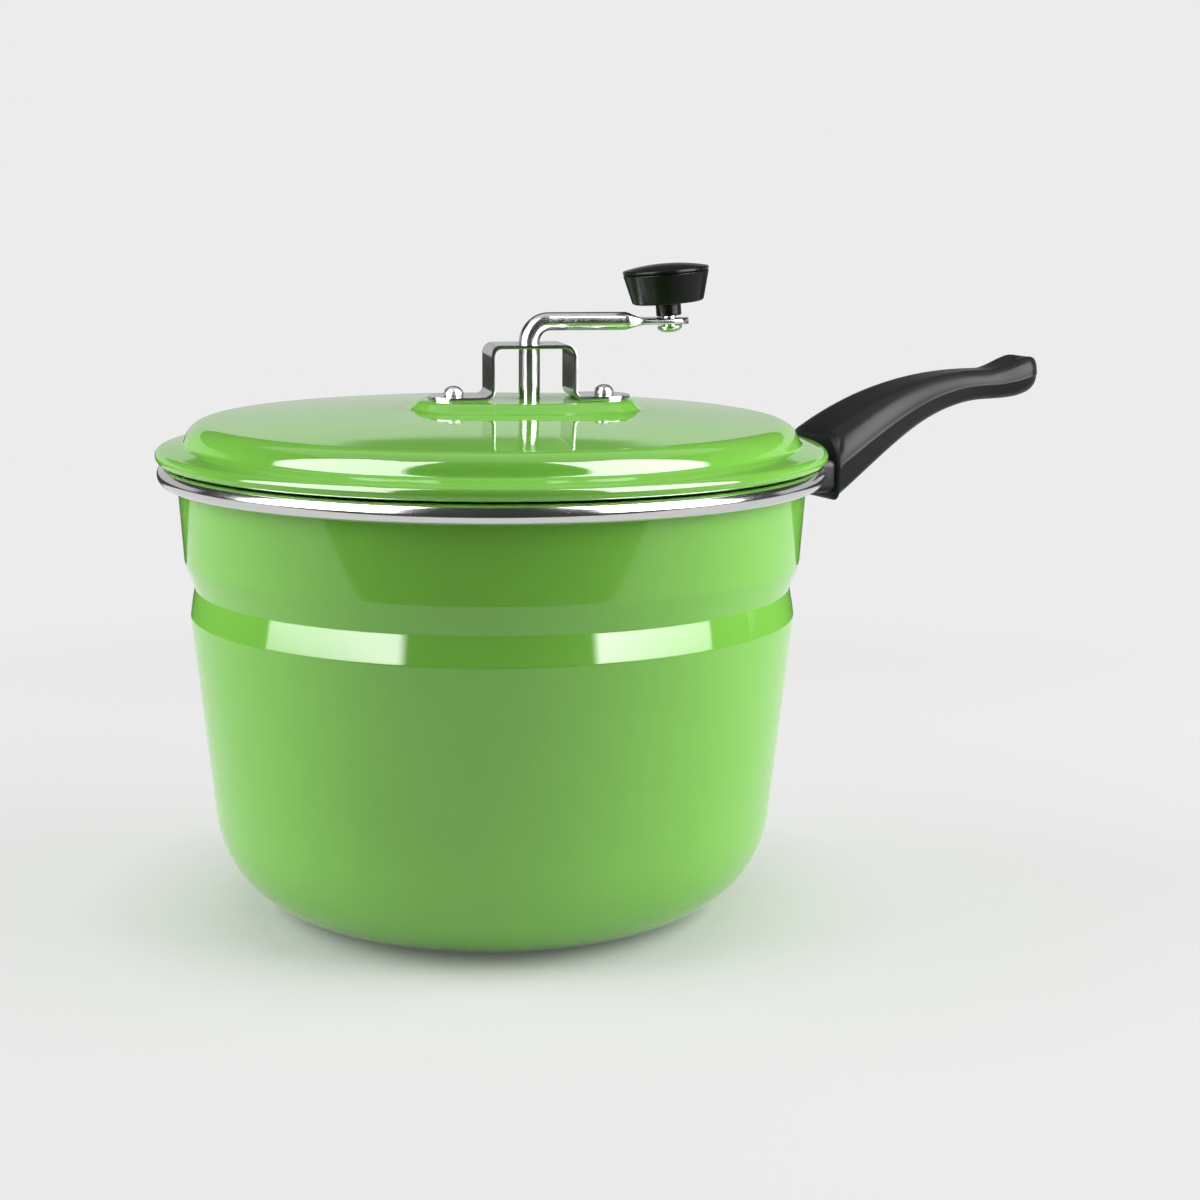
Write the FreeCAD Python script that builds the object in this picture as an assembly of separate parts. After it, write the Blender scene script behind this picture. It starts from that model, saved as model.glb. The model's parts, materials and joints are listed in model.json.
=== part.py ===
# Stovetop popcorn popper: enamelled pot, lift-off lid, bent crank with a wire stirrer.
# Millimetres, +Z up, origin on the table at the pot's centre, +X along the handle.
import FreeCAD
import Part
import math
import os

Vec = FreeCAD.Vector
up = Vec(0, 0, 1)
origin = Vec(0, 0, 0)
cut_past = 1.0            # how far a cutting body runs past the face it leaves
sharp_r = 0.05            # least inside radius of a folded sheet

# pot: its radii hang on the mouth, its heights stack up from the table
pot_wall = 1.5
mouth_r = 110.7
foot_inset = 14.7         # where the lower wall would meet the table, in from the mouth
base_corner_r = 37.6
shoulder_z = 106.0
shoulder_inset = 3.7
shoulder_round = 2.5
waist_rise = 10.0         # pressed groove round the pot, above the shoulder
waist_inset = 5.5
waist_round = 1.2
collar_rise = 9.5
collar_inset = 2.1
collar_round = 4.0
rim_rise = 30.25          # collar to the underside of the turned-out rim flange
flange_bend = 2.0

# trim ring crimped round the rim flange
band_reach = 6.5          # its outside, out from the mouth
band_tube_r = 3.35
band_sheet = 0.7
band_lip_angle = 120.0
crimp_gap = 0.05
flange_end_gap = 0.2      # edge of the rim flange to the ring's inside

# lid
lid_sheet = 1.2
lid_seat_gap = 0.3
lid_overhang = 0.7        # bead past the trim ring
bead_r = 2.3
brim_rise = 0.7           # heights above the bead's top: brim at the dome, dome's edge, middle of the crown
dome_rise = 7.9
crown_rise = 12.5
dome_inset = 4.3          # top of the dome's steep side, in from the mouth
dome_flare = 0.9          # how much wider the steep side is at its foot
dome_corner_r = 7.0
brim_round = 1.8
crown_edge = 8.0          # plain margin between the crown's arc and the dome's edge
crown_round_share = 0.98

# crank seat on the lid: an oval boss under the bracket
lid_turn = -15.0          # the loose lid sits turned from the handle, degrees
crank_offset = 12.8       # crank axis from the pot's axis
boss_margin = 2.0         # flat of the boss past the bracket's ends
boss_half_width = 22.0
boss_height = 3.61
boss_drop = 3.5           # the boss's block ends this far below the crown's middle
boss_lean = 50.0          # its sides lean out from the upright, degrees
boss_round = 2.3
boss_foot_round = 3.0
lid_hole_gap = 0.4        # round the rod

# hat bracket
strip_width = 21.0
strip_sheet = 1.2
bracket_span = 30.2       # over the two legs
bracket_height = 19.3
bracket_round = 3.6
foot_end = 9.0            # bracket past the screws
end_round_share = 0.48    # strips have nearly half-round ends

# bracket screws, washers and nuts, with the plate under the lid
screw_spacing = 54.0
screw_d = 4.0
screw_hole_gap = 0.2
screw_head_d = 7.0
screw_head_h = 3.8
head_rim_share = 0.2      # straight rim of a round head
thread_gap = 0.05
nut_width = 7.0
nut_h = 3.2
small_washer_d = 9.0
small_washer_h = 0.8
screw_tail = 1.5
backing_end = 7.0         # plate past the screws
backing_width = 18.0
backing_sheet = 1.2

# crank rod
rod_d = 7.5
rod_gap = 0.08            # running clearance on the radius
crank_bend_r = 7.2
bend_gap = 0.55           # bracket to the start of the bend
crank_radius = 50.5
taper_start = 16.5        # the bar starts to flatten this far before the knob
taper_end = 12.5
flat_width = 14.0
flat_sheet = 2.5
flat_edge = 0.75
thrust_washer_d = 16.0
thrust_washer_h = 1.0
thrust_washer_gap = 0.16
thrust_gap = 0.3
split_pin_d = 2.0
split_pin_length = 14.0
split_pin_wire_d = 1.6
split_pin_eye_r = 2.0
split_pin_leg = 4.0
split_pin_gap = 0.1

# knob on its riveted spindle
knob_lean = 5.0           # degrees, towards the rod
spindle_d = 5.0
spindle_gap = 0.05
spindle_eye_gap = 0.25
rivet_head_d = 8.7
rivet_head_h = 2.4
peen_d = 7.5
peen_h = 2.0
stem_d = 9.0
stem_h = 4.6
stem_gap = 0.6
knob_bottom_d = 25.2
knob_top_d = 30.6
knob_body_h = 10.8
knob_edge = 1.0
cap_h = 3.0
cap_rim = 1.2
cap_edge = 0.9
cap_spigot_d = 21.0
cap_spigot_h = 2.0
knob_pocket_d = 12.0
knob_pocket_h = 5.0
knob_washer_d = 10.5
knob_washer_h = 0.8
knob_washer_gap = 0.2

# stirrer
stirrer_gap = 1.7         # wires above the pot's floor
wire_d = 4.0
wire_fit = 0.05
wire_sweep = 48.0         # degrees that the ends climb round the base corner
breaker_reach = 56.0
breaker_rise = 9.0
breaker_bend = 6.0
hub_d = 15.0
hub_floor_gap = 0.9
hub_grip = 11.0           # rod length held in the hub
hub_web = 1.4
hub_round = 0.9
hub_screw_d = 4.0
hub_screw_head_d = 7.0
hub_screw_head_h = 2.4

# handle bracket: foot plate on the wall, tongue into the handle
foot_sheet = 2.0
foot_angle = 20.0         # degrees of the wall that the foot covers
foot_height = 20.0
weld_gap = 0.1
tongue_drop = 7.25        # middle of the tongue below the rim flange
tongue_sheet = 3.0
tongue_width = 18.0
tongue_tilt = 28.0
tongue_reach = 26.0
tongue_bend = 6.0
socket_gap = 0.2
socket_end_gap = 0.8

# ferrule cup between the trim ring and the handle
ferrule_rim_gap = 4.3
ferrule_length = 10.5
ferrule_width = 34.0
ferrule_height = 16.0
ferrule_drop = 6.5        # its underside below the middle of the tongue
ferrule_round = 6.0
ferrule_sheet = 1.0

# handle: the root laps round the ferrule, the back rises to a narrow neck and a wide tip
handle_length = 102.0
root_lap = 2.0            # past the ferrule's sides
root_drop = 3.0           # below the ferrule
root_height = 24.4
root_flat = 7.0
neck_at = 0.74            # shares of the handle's length
tip_at = 0.92
neck_rise = 34.3          # undersides of the neck and the tip above the root's
neck_height = 11.5
neck_half = 9.0
neck_flat = 3.4
tip_rise = 34.6
tip_height = 17.0
tip_half = 11.0
tip_flat = 7.0
top_ease = 2.2            # how fast the upper line levels out
lower_round = 3.0
side_draft = 0.06
side_bulge = 0.24         # sagitta of the upper corners, as a share of their legs
scoop_at = 0.89           # share of the handle's length
scoop_r = 34.0
scoop_depth = 2.2
hang_hole_d = 4.4
hang_hole_inset = 8.0

# handle screw and its moulded-in insert
handle_screw_at = 14.0    # along the tilted tongue
handle_screw_d = 5.0
handle_screw_head_d = 9.0
handle_screw_head_h = 2.6
handle_screw_seat = 3.4
screw_tip_gap = 1.0
insert_d = 8.0
insert_length = 8.0
insert_floor = 0.5

# pot, ring and lid worked out
wall_foot_r = mouth_r - foot_inset
shoulder_r = mouth_r - shoulder_inset
waist_r = mouth_r - waist_inset
waist_z = shoulder_z + waist_rise
collar_r = mouth_r - collar_inset
collar_z = waist_z + collar_rise
flange_z = collar_z + rim_rise
rim_z = flange_z + pot_wall / 2
band_outer_r = mouth_r + band_reach
band_centre_r = band_outer_r - band_tube_r
bead_centre_r = band_outer_r + lid_overhang - bead_r
bead_z = rim_z + math.sqrt((band_tube_r + bead_r + lid_seat_gap) ** 2 - (bead_centre_r - band_centre_r) ** 2)
bead_top_z = bead_z + bead_r
dome_r = mouth_r - dome_inset
dome_z = bead_top_z + dome_rise
crown_z = bead_top_z + crown_rise
crown_knee = (dome_r - crown_edge) / 2
crown_slope = math.atan((crown_z - dome_z) / (dome_r - crown_knee))
crown_round = crown_round_share * crown_knee / math.tan(crown_slope / 2)

# bracket and crank worked out
bracket_length = screw_spacing + 2 * foot_end
boss_half_length = bracket_length / 2 + boss_margin
boss_top_z = crown_z + boss_height
boss_bottom_z = crown_z - boss_drop
boss_slope = math.tan(math.radians(boss_lean))
boss_foot_reach = boss_half_length + (boss_top_z - boss_bottom_z) * boss_slope
foot_top_z = boss_top_z + strip_sheet
bracket_top_z = boss_top_z + bracket_height
backing_z = boss_top_z - lid_sheet - backing_sheet
nut_z = backing_z - small_washer_h - nut_h
screw_places = [crank_offset - screw_spacing / 2, crank_offset + screw_spacing / 2]
thrust_z = backing_z - thrust_gap - thrust_washer_h
pin_z = thrust_z - split_pin_gap - split_pin_d / 2
arm_z = bracket_top_z + bend_gap + crank_bend_r

# knob worked out
knob_x = crank_offset + crank_radius
eye_top_z = arm_z + flat_sheet / 2
stem_z = eye_top_z + stem_gap
body_z = stem_z + stem_h
cap_z = body_z + knob_body_h
pocket_z = cap_z - cap_spigot_h - knob_pocket_h
knob_washer_z = pocket_z + knob_washer_gap

# stirrer worked out
floor_z = pot_wall
wire_z = floor_z + stirrer_gap + wire_d / 2
breaker_z = wire_z + wire_d + hub_web
hub_bottom_z = floor_z + hub_floor_gap
rod_bottom_z = breaker_z + wire_d / 2 + hub_web
hub_top_z = rod_bottom_z + hub_grip
hub_screw_z = rod_bottom_z + hub_grip / 2

# handle worked out
tongue_z = flange_z - tongue_drop
handle_face = band_outer_r + ferrule_rim_gap + ferrule_length
ferrule_bottom = tongue_z - ferrule_drop
root_half = ferrule_width / 2 + root_lap
root_bottom = ferrule_bottom - root_drop
root_top = root_bottom + root_height
neck_bottom = root_bottom + neck_rise
neck_top = neck_bottom + neck_height
tip_bottom = root_bottom + tip_rise
tip_top = tip_bottom + tip_height
bore_reach = 2 * root_height


def point(x, z, y=0.0):
    return Vec(x, y, z)


def offset_points(points, distance):
    # moves a polyline sideways; distance > 0 is to the left of its direction
    moved = []
    count = len(points)
    for i in range(count):
        normals = []
        for a, b in ((i - 1, i), (i, i + 1)):
            if a >= 0 and b < count:
                dx = points[b][0] - points[a][0]
                dz = points[b][1] - points[a][1]
                length = math.hypot(dx, dz)
                normals.append((-dz / length, dx / length))
        first = normals[0]
        last = normals[-1]
        share = distance / (1 + first[0] * last[0] + first[1] * last[1])
        x = points[i][0] + (first[0] + last[0]) * share
        z = points[i][1] + (first[1] + last[1]) * share
        radius = points[i][2]
        turn = first[0] * last[1] - first[1] * last[0]
        if radius > 0:
            radius = max(radius - math.copysign(1, turn) * distance, sharp_r)
        moved.append((x, z, radius))
    return moved


def outline(points):
    # lines joined by tangent arcs: each point is (x, z, corner radius)
    edges = []
    here = point(points[0][0], points[0][1])
    for i in range(1, len(points) - 1):
        corner = point(points[i][0], points[i][1])
        back = (point(points[i - 1][0], points[i - 1][1]) - corner).normalize()
        ahead = (point(points[i + 1][0], points[i + 1][1]) - corner).normalize()
        radius = points[i][2]
        half = back.getAngle(ahead) / 2
        if radius > 0:
            cut = radius / math.tan(half)
            start = corner + back * cut
            end = corner + ahead * cut
            bisector = (back + ahead).normalize()
            middle = corner + bisector * (radius / math.sin(half) - radius)
            edges.append(Part.LineSegment(here, start).toShape())
            edges.append(Part.Arc(start, middle, end).toShape())
            here = end
        else:
            edges.append(Part.LineSegment(here, corner).toShape())
            here = corner
    last = point(points[-1][0], points[-1][1])
    edges.append(Part.LineSegment(here, last).toShape())
    return edges


def sheet_face(points, distance):
    # closed section of sheet metal between a path and its parallel
    other = offset_points(points, distance)
    edges = outline(points) + outline(other)
    for end in (0, -1):
        a = point(points[end][0], points[end][1])
        b = point(other[end][0], other[end][1])
        edges.append(Part.LineSegment(a, b).toShape())
    return Part.Face(Part.Wire(Part.__sortEdges__(edges)))


def flat_face(points):
    corners = [point(p[0], p[1]) for p in points]
    return Part.Face(Part.makePolygon(corners + corners[:1]))


def spin(face, x=0.0, angle=360.0):
    return face.revolve(point(x, 0), up, angle)


def disc(radius, height, x, z, y=0.0):
    return Part.makeCylinder(radius, height, point(x, z, y), up)


def ring(outer, inner, height, x, z):
    return disc(outer, height, x, z).cut(disc(inner, height + 2 * cut_past, x, z - cut_past))


def extrude_y(face, width):
    # extrudes a section of the XZ plane evenly to both sides
    return face.translated(Vec(0, -width / 2, 0)).extrude(Vec(0, width, 0))


def rounded_plate(length, width, height, x, z, radius):
    plate = Part.makeBox(length, width, height, point(x - length / 2, z, -width / 2))
    upright = [e for e in plate.Edges if abs(e.tangentAt(e.FirstParameter).z) > 0.99]
    return plate.makeFillet(radius, upright)


def on_lid(shape):
    return shape.rotated(origin, up, lid_turn)


def wall_radius(z):
    # outer radius of the pot's upper wall
    share = (z - collar_z) / (flange_z - collar_z)
    return collar_r + (mouth_r - collar_r) * share


def pot_shell():
    flange_end = band_outer_r - band_sheet - flange_end_gap
    path = [
        (0, 0, 0),
        (wall_foot_r, 0, base_corner_r),
        (shoulder_r, shoulder_z, shoulder_round),
        (waist_r, waist_z, waist_round),
        (collar_r, collar_z, collar_round),
        (mouth_r, flange_z, flange_bend),
        (flange_end, flange_z, 0),
    ]
    return spin(sheet_face(path, pot_wall))


def rim_band():
    tube = Part.makeTorus(band_centre_r, band_tube_r, point(0, rim_z), up)
    tube = tube.cut(Part.makeTorus(band_centre_r, band_tube_r - band_sheet, point(0, rim_z), up))
    slot_half = pot_wall / 2 + crimp_gap
    reach = 2 * band_tube_r
    slot = ring(band_centre_r, band_centre_r - reach, 2 * slot_half, 0, rim_z - slot_half)
    lip = math.radians(band_lip_angle)
    mouth = flat_face([
        (band_centre_r, rim_z),
        (band_centre_r + reach * math.cos(lip), rim_z - reach * math.sin(lip)),
        (band_centre_r - reach, rim_z - reach * math.sin(lip)),
        (band_centre_r - reach, rim_z),
    ])
    return tube.cut(slot).cut(spin(mouth))


def oval(half_length, half_width, z):
    # straight sides and round ends, across the crank's axis
    left = crank_offset - half_length + half_width
    right = crank_offset + half_length - half_width
    near = [point(left, z, -half_width), point(right, z, -half_width)]
    far = [point(right, z, half_width), point(left, z, half_width)]
    return Part.Wire([
        Part.LineSegment(near[0], near[1]).toShape(),
        Part.Arc(near[1], point(right + half_width, z), far[0]).toShape(),
        Part.LineSegment(far[0], far[1]).toShape(),
        Part.Arc(far[1], point(left - half_width, z), near[0]).toShape(),
    ])


def boss_block(inset, top_z, radius):
    # block of the boss with leaning sides and a rounded top edge
    grow = (top_z - boss_bottom_z) * boss_slope
    half_length = boss_half_length - inset
    half_width = boss_half_width - inset
    block = Part.makeLoft([oval(half_length + grow, half_width + grow, boss_bottom_z),
                           oval(half_length, half_width, top_z)], True, True)
    rim = [e for e in block.Edges if e.BoundBox.ZMin > top_z - sharp_r]
    return block.makeFillet(radius, rim)


def dome_block(path, bottom_z):
    # everything under a path of the lid's section
    edges = outline(path)
    corners = [point(path[0][0], path[0][1]), point(0, bottom_z), point(path[-1][0], bottom_z),
               point(path[-1][0], path[-1][1])]
    edges += [Part.LineSegment(corners[i], corners[i + 1]).toShape() for i in range(3)]
    return spin(Part.Face(Part.Wire(Part.__sortEdges__(edges))))


def boss_foot_edges(shape):
    # edges where the boss meets the crown
    found = []
    for edge in shape.Edges:
        box = edge.BoundBox
        middle = edge.valueAt((edge.FirstParameter + edge.LastParameter) / 2)
        below_side = box.ZMax < boss_top_z - boss_height / 2
        near = math.hypot(middle.x - crank_offset, middle.y) < boss_foot_reach
        if below_side and near and box.ZMin > boss_bottom_z:
            found.append(edge)
    return found


def lid_shell():
    path = [
        (0, crown_z, 0),
        (crown_knee, crown_z, crown_round),
        (dome_r, dome_z, dome_corner_r),
        (dome_r + dome_flare, bead_top_z + brim_rise, brim_round),
        (bead_centre_r, bead_top_z, 0),
    ]
    inner_path = offset_points(path, -lid_sheet)
    bottom_z = bead_z - bead_r
    outside = dome_block(path, bottom_z).fuse(boss_block(0.0, boss_top_z, boss_round))
    outside = outside.makeFillet(boss_foot_round, boss_foot_edges(outside))
    inset = lid_sheet / math.cos(math.radians(boss_lean)) - lid_sheet * boss_slope
    inside = dome_block(inner_path, bottom_z)
    inside = inside.fuse(boss_block(inset, boss_top_z - lid_sheet, boss_round - lid_sheet))
    bead = Part.makeTorus(bead_centre_r, bead_r, point(0, bead_z), up)
    shell = outside.cut(inside).fuse(bead)
    holes = [(crank_offset, rod_d / 2 + lid_hole_gap)]
    holes += [(x, screw_d / 2 + screw_hole_gap) for x in screw_places]
    for x, radius in holes:
        shell = shell.cut(disc(radius, 4 * lid_sheet, x, boss_top_z - 2 * lid_sheet))
    return shell.removeSplitter()


def crank_bracket():
    # one strip, bent to a hat: foot, leg, top, leg, foot
    half = bracket_span / 2
    foot = bracket_length / 2
    path = [
        (crank_offset - foot, foot_top_z, 0),
        (crank_offset - half, foot_top_z, bracket_round - strip_sheet),
        (crank_offset - half, bracket_top_z, bracket_round),
        (crank_offset + half, bracket_top_z, bracket_round),
        (crank_offset + half, foot_top_z, bracket_round - strip_sheet),
        (crank_offset + foot, foot_top_z, 0),
    ]
    hat = extrude_y(sheet_face(path, -strip_sheet), strip_width)
    blank = rounded_plate(bracket_length, strip_width, bracket_height * 2, crank_offset,
                          boss_top_z - bracket_height / 2, strip_width * end_round_share)
    hat = hat.common(blank)
    hat = hat.cut(disc(rod_d / 2 + rod_gap, 4 * strip_sheet, crank_offset, bracket_top_z - 2 * strip_sheet))
    for x in screw_places:
        hat = hat.cut(disc(screw_d / 2 + screw_hole_gap, 4 * strip_sheet, x, foot_top_z - 2 * strip_sheet))
    return hat


def dome_head(diameter, height, x, z, rim):
    # round head over a straight rim
    half = diameter / 2
    rise = height - rim
    sphere_r = (half * half + rise * rise) / (2 * rise)
    slope = math.asin(half / sphere_r) / 2
    middle = point(x + sphere_r * math.sin(slope), z + height - sphere_r * (1 - math.cos(slope)))
    edges = [
        Part.LineSegment(point(x, z), point(x + half, z)).toShape(),
        Part.LineSegment(point(x + half, z), point(x + half, z + rim)).toShape(),
        Part.Arc(point(x + half, z + rim), middle, point(x, z + height)).toShape(),
        Part.LineSegment(point(x, z + height), point(x, z)).toShape(),
    ]
    return spin(Part.Face(Part.Wire(edges)), x)


def hexagon(width, height, x, z):
    corner_r = width / math.sqrt(3)
    corners = [Vec(x + corner_r * math.cos(math.radians(a)), corner_r * math.sin(math.radians(a)), z)
               for a in range(0, 361, 60)]
    return Part.Face(Part.makePolygon(corners)).extrude(up * height)


def round_head(diameter, height, x, z):
    return dome_head(diameter, height, x, z, height * head_rim_share)


def bracket_screws():
    screws = []
    for x in screw_places:
        shank = disc(screw_d / 2, foot_top_z - nut_z + screw_tail, x, nut_z - screw_tail)
        screws.append(shank.fuse(round_head(screw_head_d, screw_head_h, x, foot_top_z)))
    return Part.makeCompound(screws)


def bracket_washers():
    hole = screw_d / 2 + screw_hole_gap
    z = backing_z - small_washer_h
    return Part.makeCompound([ring(small_washer_d / 2, hole, small_washer_h, x, z) for x in screw_places])


def bracket_nuts():
    nuts = []
    for x in screw_places:
        bore = disc(screw_d / 2 + thread_gap, nut_h + 2 * cut_past, x, nut_z - cut_past)
        nuts.append(hexagon(nut_width, nut_h, x, nut_z).cut(bore))
    return Part.makeCompound(nuts)


def backing_plate():
    plate = rounded_plate(screw_spacing + 2 * backing_end, backing_width, backing_sheet, crank_offset,
                          backing_z, backing_width * end_round_share)
    holes = [(crank_offset, rod_d / 2 + rod_gap)] + [(x, screw_d / 2 + screw_hole_gap) for x in screw_places]
    for x, radius in holes:
        plate = plate.cut(disc(radius, backing_sheet + 2 * cut_past, x, backing_z - cut_past))
    return plate


def oval_wire(x, width, height, z, corner):
    # rounded rectangle across the arm at distance x: arc, side, arc, side and so on
    half_w = width / 2
    half_h = height / 2
    arcs = []
    for quarter, (side_y, side_z) in enumerate(((1, 1), (-1, 1), (-1, -1), (1, -1))):
        spots = []
        for step in (0, 0.5, 1):
            angle = math.pi / 2 * (quarter + step)
            spots.append(Vec(x, side_y * (half_w - corner) + corner * math.cos(angle),
                             z + side_z * (half_h - corner) + corner * math.sin(angle)))
        arcs.append(spots)
    edges = []
    for i in range(4):
        edges.append(Part.Arc(*arcs[i]).toShape())
        edges.append(Part.LineSegment(arcs[i][2], arcs[(i + 1) % 4][0]).toShape())
    return Part.Wire(edges)


def round_wire(x, radius, z):
    # circle across the arm, cut into the same eight edges as oval_wire
    spots = []
    for step in range(1, 18):
        angle = math.pi / 8 * step
        spots.append(Vec(x, radius * math.cos(angle), z + radius * math.sin(angle)))
    arcs = [Part.Arc(spots[i], spots[i + 1], spots[i + 2]).toShape() for i in range(0, 16, 2)]
    return Part.Wire(arcs)


def crank_rod():
    # round bar, bent once, its end forged flat into an eye for the knob's spindle
    x = crank_offset
    bend_z = arm_z - crank_bend_r
    arm_x = x + crank_bend_r
    upright = disc(rod_d / 2, bend_z - rod_bottom_z, x, rod_bottom_z)
    section = Part.Face(Part.Wire(Part.makeCircle(rod_d / 2, point(x, bend_z), up)))
    bend = section.revolve(point(arm_x, bend_z), Vec(0, 1, 0), 90)
    round_end = knob_x - taper_start
    flat_start = knob_x - taper_end
    arm = Part.makeCylinder(rod_d / 2, round_end - arm_x, point(arm_x, arm_z), Vec(1, 0, 0))
    half_height = (rod_d + flat_sheet) / 2
    forged = Part.makeLoft([
        round_wire(round_end, rod_d / 2, arm_z),
        oval_wire((round_end + flat_start) / 2, (rod_d + flat_width) / 2, half_height, arm_z,
                  (half_height - flat_edge / 2) / 2),
        oval_wire(flat_start, flat_width, flat_sheet, arm_z, flat_edge),
    ], True, False)
    tab = Part.Face(oval_wire(flat_start, flat_width, flat_sheet, arm_z, flat_edge))
    tab = tab.extrude(Vec(taper_end, 0, 0))
    flat_z = arm_z - flat_sheet / 2
    eye = disc(flat_width / 2, flat_sheet, knob_x, flat_z)
    rims = [e for e in eye.Edges if e.Curve.TypeId == "Part::GeomCircle"]
    eye = eye.makeFillet(flat_edge, rims)
    rod = upright.fuse([bend, arm, forged, tab, eye])
    spindle_hole_r = spindle_d / 2 + spindle_eye_gap
    rod = rod.cut(disc(spindle_hole_r, flat_sheet + 2 * cut_past, knob_x, flat_z - cut_past))
    pin_hole = Part.makeCylinder(split_pin_d / 2 + split_pin_gap, 2 * rod_d,
                                 point(x, pin_z, -rod_d), Vec(0, 1, 0))
    return rod.cut(pin_hole)


def thrust_washer():
    return ring(thrust_washer_d / 2, rod_d / 2 + thrust_washer_gap, thrust_washer_h, crank_offset, thrust_z)


def split_pin():
    # bent wire: a round eye on one side, two legs spread on the other
    x = crank_offset
    wire_r = split_pin_wire_d / 2
    end_y = split_pin_length / 2
    shank = Part.makeCylinder(split_pin_d / 2, split_pin_length, point(x, pin_z, -end_y), Vec(0, 1, 0))
    eye = Part.makeTorus(split_pin_eye_r, wire_r, point(x, pin_z, end_y + split_pin_eye_r - wire_r), up)
    legs = []
    for side in (-1, 1):
        foot = point(x, pin_z, wire_r / 2 - end_y)
        legs.append(Part.makeCylinder(wire_r, split_pin_leg, foot, Vec(side, -1, 0)))
    return shank.fuse([eye] + legs).removeSplitter()


def lean(shape):
    # tilts the spindle and the knob about the top of the eye
    return shape.rotated(point(knob_x, eye_top_z), Vec(0, 1, 0), -knob_lean)


def knob():
    path = [
        (knob_x, stem_z, 0),
        (knob_x + stem_d / 2, stem_z, 0),
        (knob_x + stem_d / 2, body_z, 0),
        (knob_x + knob_bottom_d / 2, body_z, knob_edge),
        (knob_x + knob_top_d / 2, cap_z, 0),
        (knob_x, cap_z, 0),
    ]
    edges = outline(path)
    edges.append(Part.LineSegment(point(knob_x, cap_z), point(knob_x, stem_z)).toShape())
    body = spin(Part.Face(Part.Wire(Part.__sortEdges__(edges))), knob_x)
    body = body.cut(disc(spindle_d / 2 + spindle_gap, 2 * knob_body_h, knob_x, stem_z - cut_past))
    body = body.cut(disc(knob_pocket_d / 2, 2 * knob_pocket_h, knob_x, pocket_z))
    spigot_hole = disc(cap_spigot_d / 2 + spindle_gap, cap_spigot_h + cut_past, knob_x, cap_z - cap_spigot_h)
    return lean(body.cut(spigot_hole))


def knob_cap():
    cap = dome_head(knob_top_d, cap_h, knob_x, cap_z, cap_rim)
    shoulder = [e for e in cap.Edges if abs(e.BoundBox.ZMin - cap_z - cap_rim) < sharp_r
                and e.BoundBox.ZLength < sharp_r]
    cap = cap.makeFillet(cap_edge, shoulder)
    spigot = disc(cap_spigot_d / 2, cap_spigot_h, knob_x, cap_z - cap_spigot_h)
    return lean(cap.fuse(spigot))


def knob_spindle():
    # rivet: domed head under the eye, peened end on the washer inside the knob
    head_room = rivet_head_d / 2 * math.tan(math.radians(knob_lean)) + crimp_gap
    head_z = arm_z - flat_sheet / 2 - head_room
    head = round_head(rivet_head_d, rivet_head_h, knob_x, head_z)
    head = head.rotated(point(knob_x, head_z), Vec(1, 0, 0), 180)
    end_z = knob_washer_z + knob_washer_h
    shank = disc(spindle_d / 2, end_z - head_z, knob_x, head_z)
    return lean(shank.fuse([head, round_head(peen_d, peen_h, knob_x, end_z)]))


def knob_washer():
    return lean(ring(knob_washer_d / 2, spindle_d / 2 + spindle_gap, knob_washer_h, knob_x, knob_washer_z))


def bent_wire(points):
    # round wire along a path with round ends
    edges = outline(points)
    start = edges[0].Vertexes[0].Point
    section = Part.Wire(Part.makeCircle(wire_d / 2, start, edges[0].tangentAt(edges[0].FirstParameter)))
    wire = Part.Wire(edges).makePipeShell([section], True, False)
    ends = [Part.makeSphere(wire_d / 2, point(p[0], p[1])) for p in (points[0], points[-1])]
    return wire.fuse(ends)


def stirrer_wire():
    # flat over the floor, then concentric with the base corner on its near side
    corner_r = base_corner_r - pot_wall
    climb_r = corner_r - stirrer_gap - wire_d / 2
    centre = wall_foot_r - base_corner_r - crank_offset
    sweep = math.radians(wire_sweep)
    end_x = centre + climb_r * math.sin(sweep)
    end_z = wire_z + climb_r * (1 - math.cos(sweep))
    knee_x = centre + climb_r * math.tan(sweep / 2)
    tail_x = end_x + wire_d * math.cos(sweep)
    tail_z = end_z + wire_d * math.sin(sweep)
    points = [
        (-tail_x, tail_z, 0),
        (-knee_x, wire_z, climb_r),
        (knee_x, wire_z, climb_r),
        (tail_x, tail_z, 0),
    ]
    return bent_wire(points).translated(Vec(crank_offset, 0, 0))


def breaker_wire():
    points = [
        (-breaker_reach, breaker_z + breaker_rise, 0),
        (-breaker_reach, breaker_z, breaker_bend),
        (breaker_reach, breaker_z, breaker_bend),
        (breaker_reach, breaker_z + breaker_rise, 0),
    ]
    return bent_wire(points).rotated(origin, up, 90).translated(Vec(crank_offset, 0, 0))


def stirrer_hub():
    x = crank_offset
    hub = disc(hub_d / 2, hub_top_z - hub_bottom_z, x, hub_bottom_z)
    rims = [e for e in hub.Edges if e.Curve.TypeId == "Part::GeomCircle"]
    hub = hub.makeFillet(hub_round, rims)
    hub = hub.cut(disc(rod_d / 2 + crimp_gap, hub_grip + cut_past, x, rod_bottom_z))
    hole_r = wire_d / 2 + wire_fit
    hub = hub.cut(Part.makeCylinder(hole_r, 2 * hub_d, point(x - hub_d, wire_z), Vec(1, 0, 0)))
    hub = hub.cut(Part.makeCylinder(hole_r, 2 * hub_d, point(x, breaker_z, -hub_d), Vec(0, 1, 0)))
    tapped = Part.makeCylinder(hub_screw_d / 2 + wire_fit, hub_d, point(x, hub_screw_z), Vec(0, -1, 0))
    return hub.cut(tapped)


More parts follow.
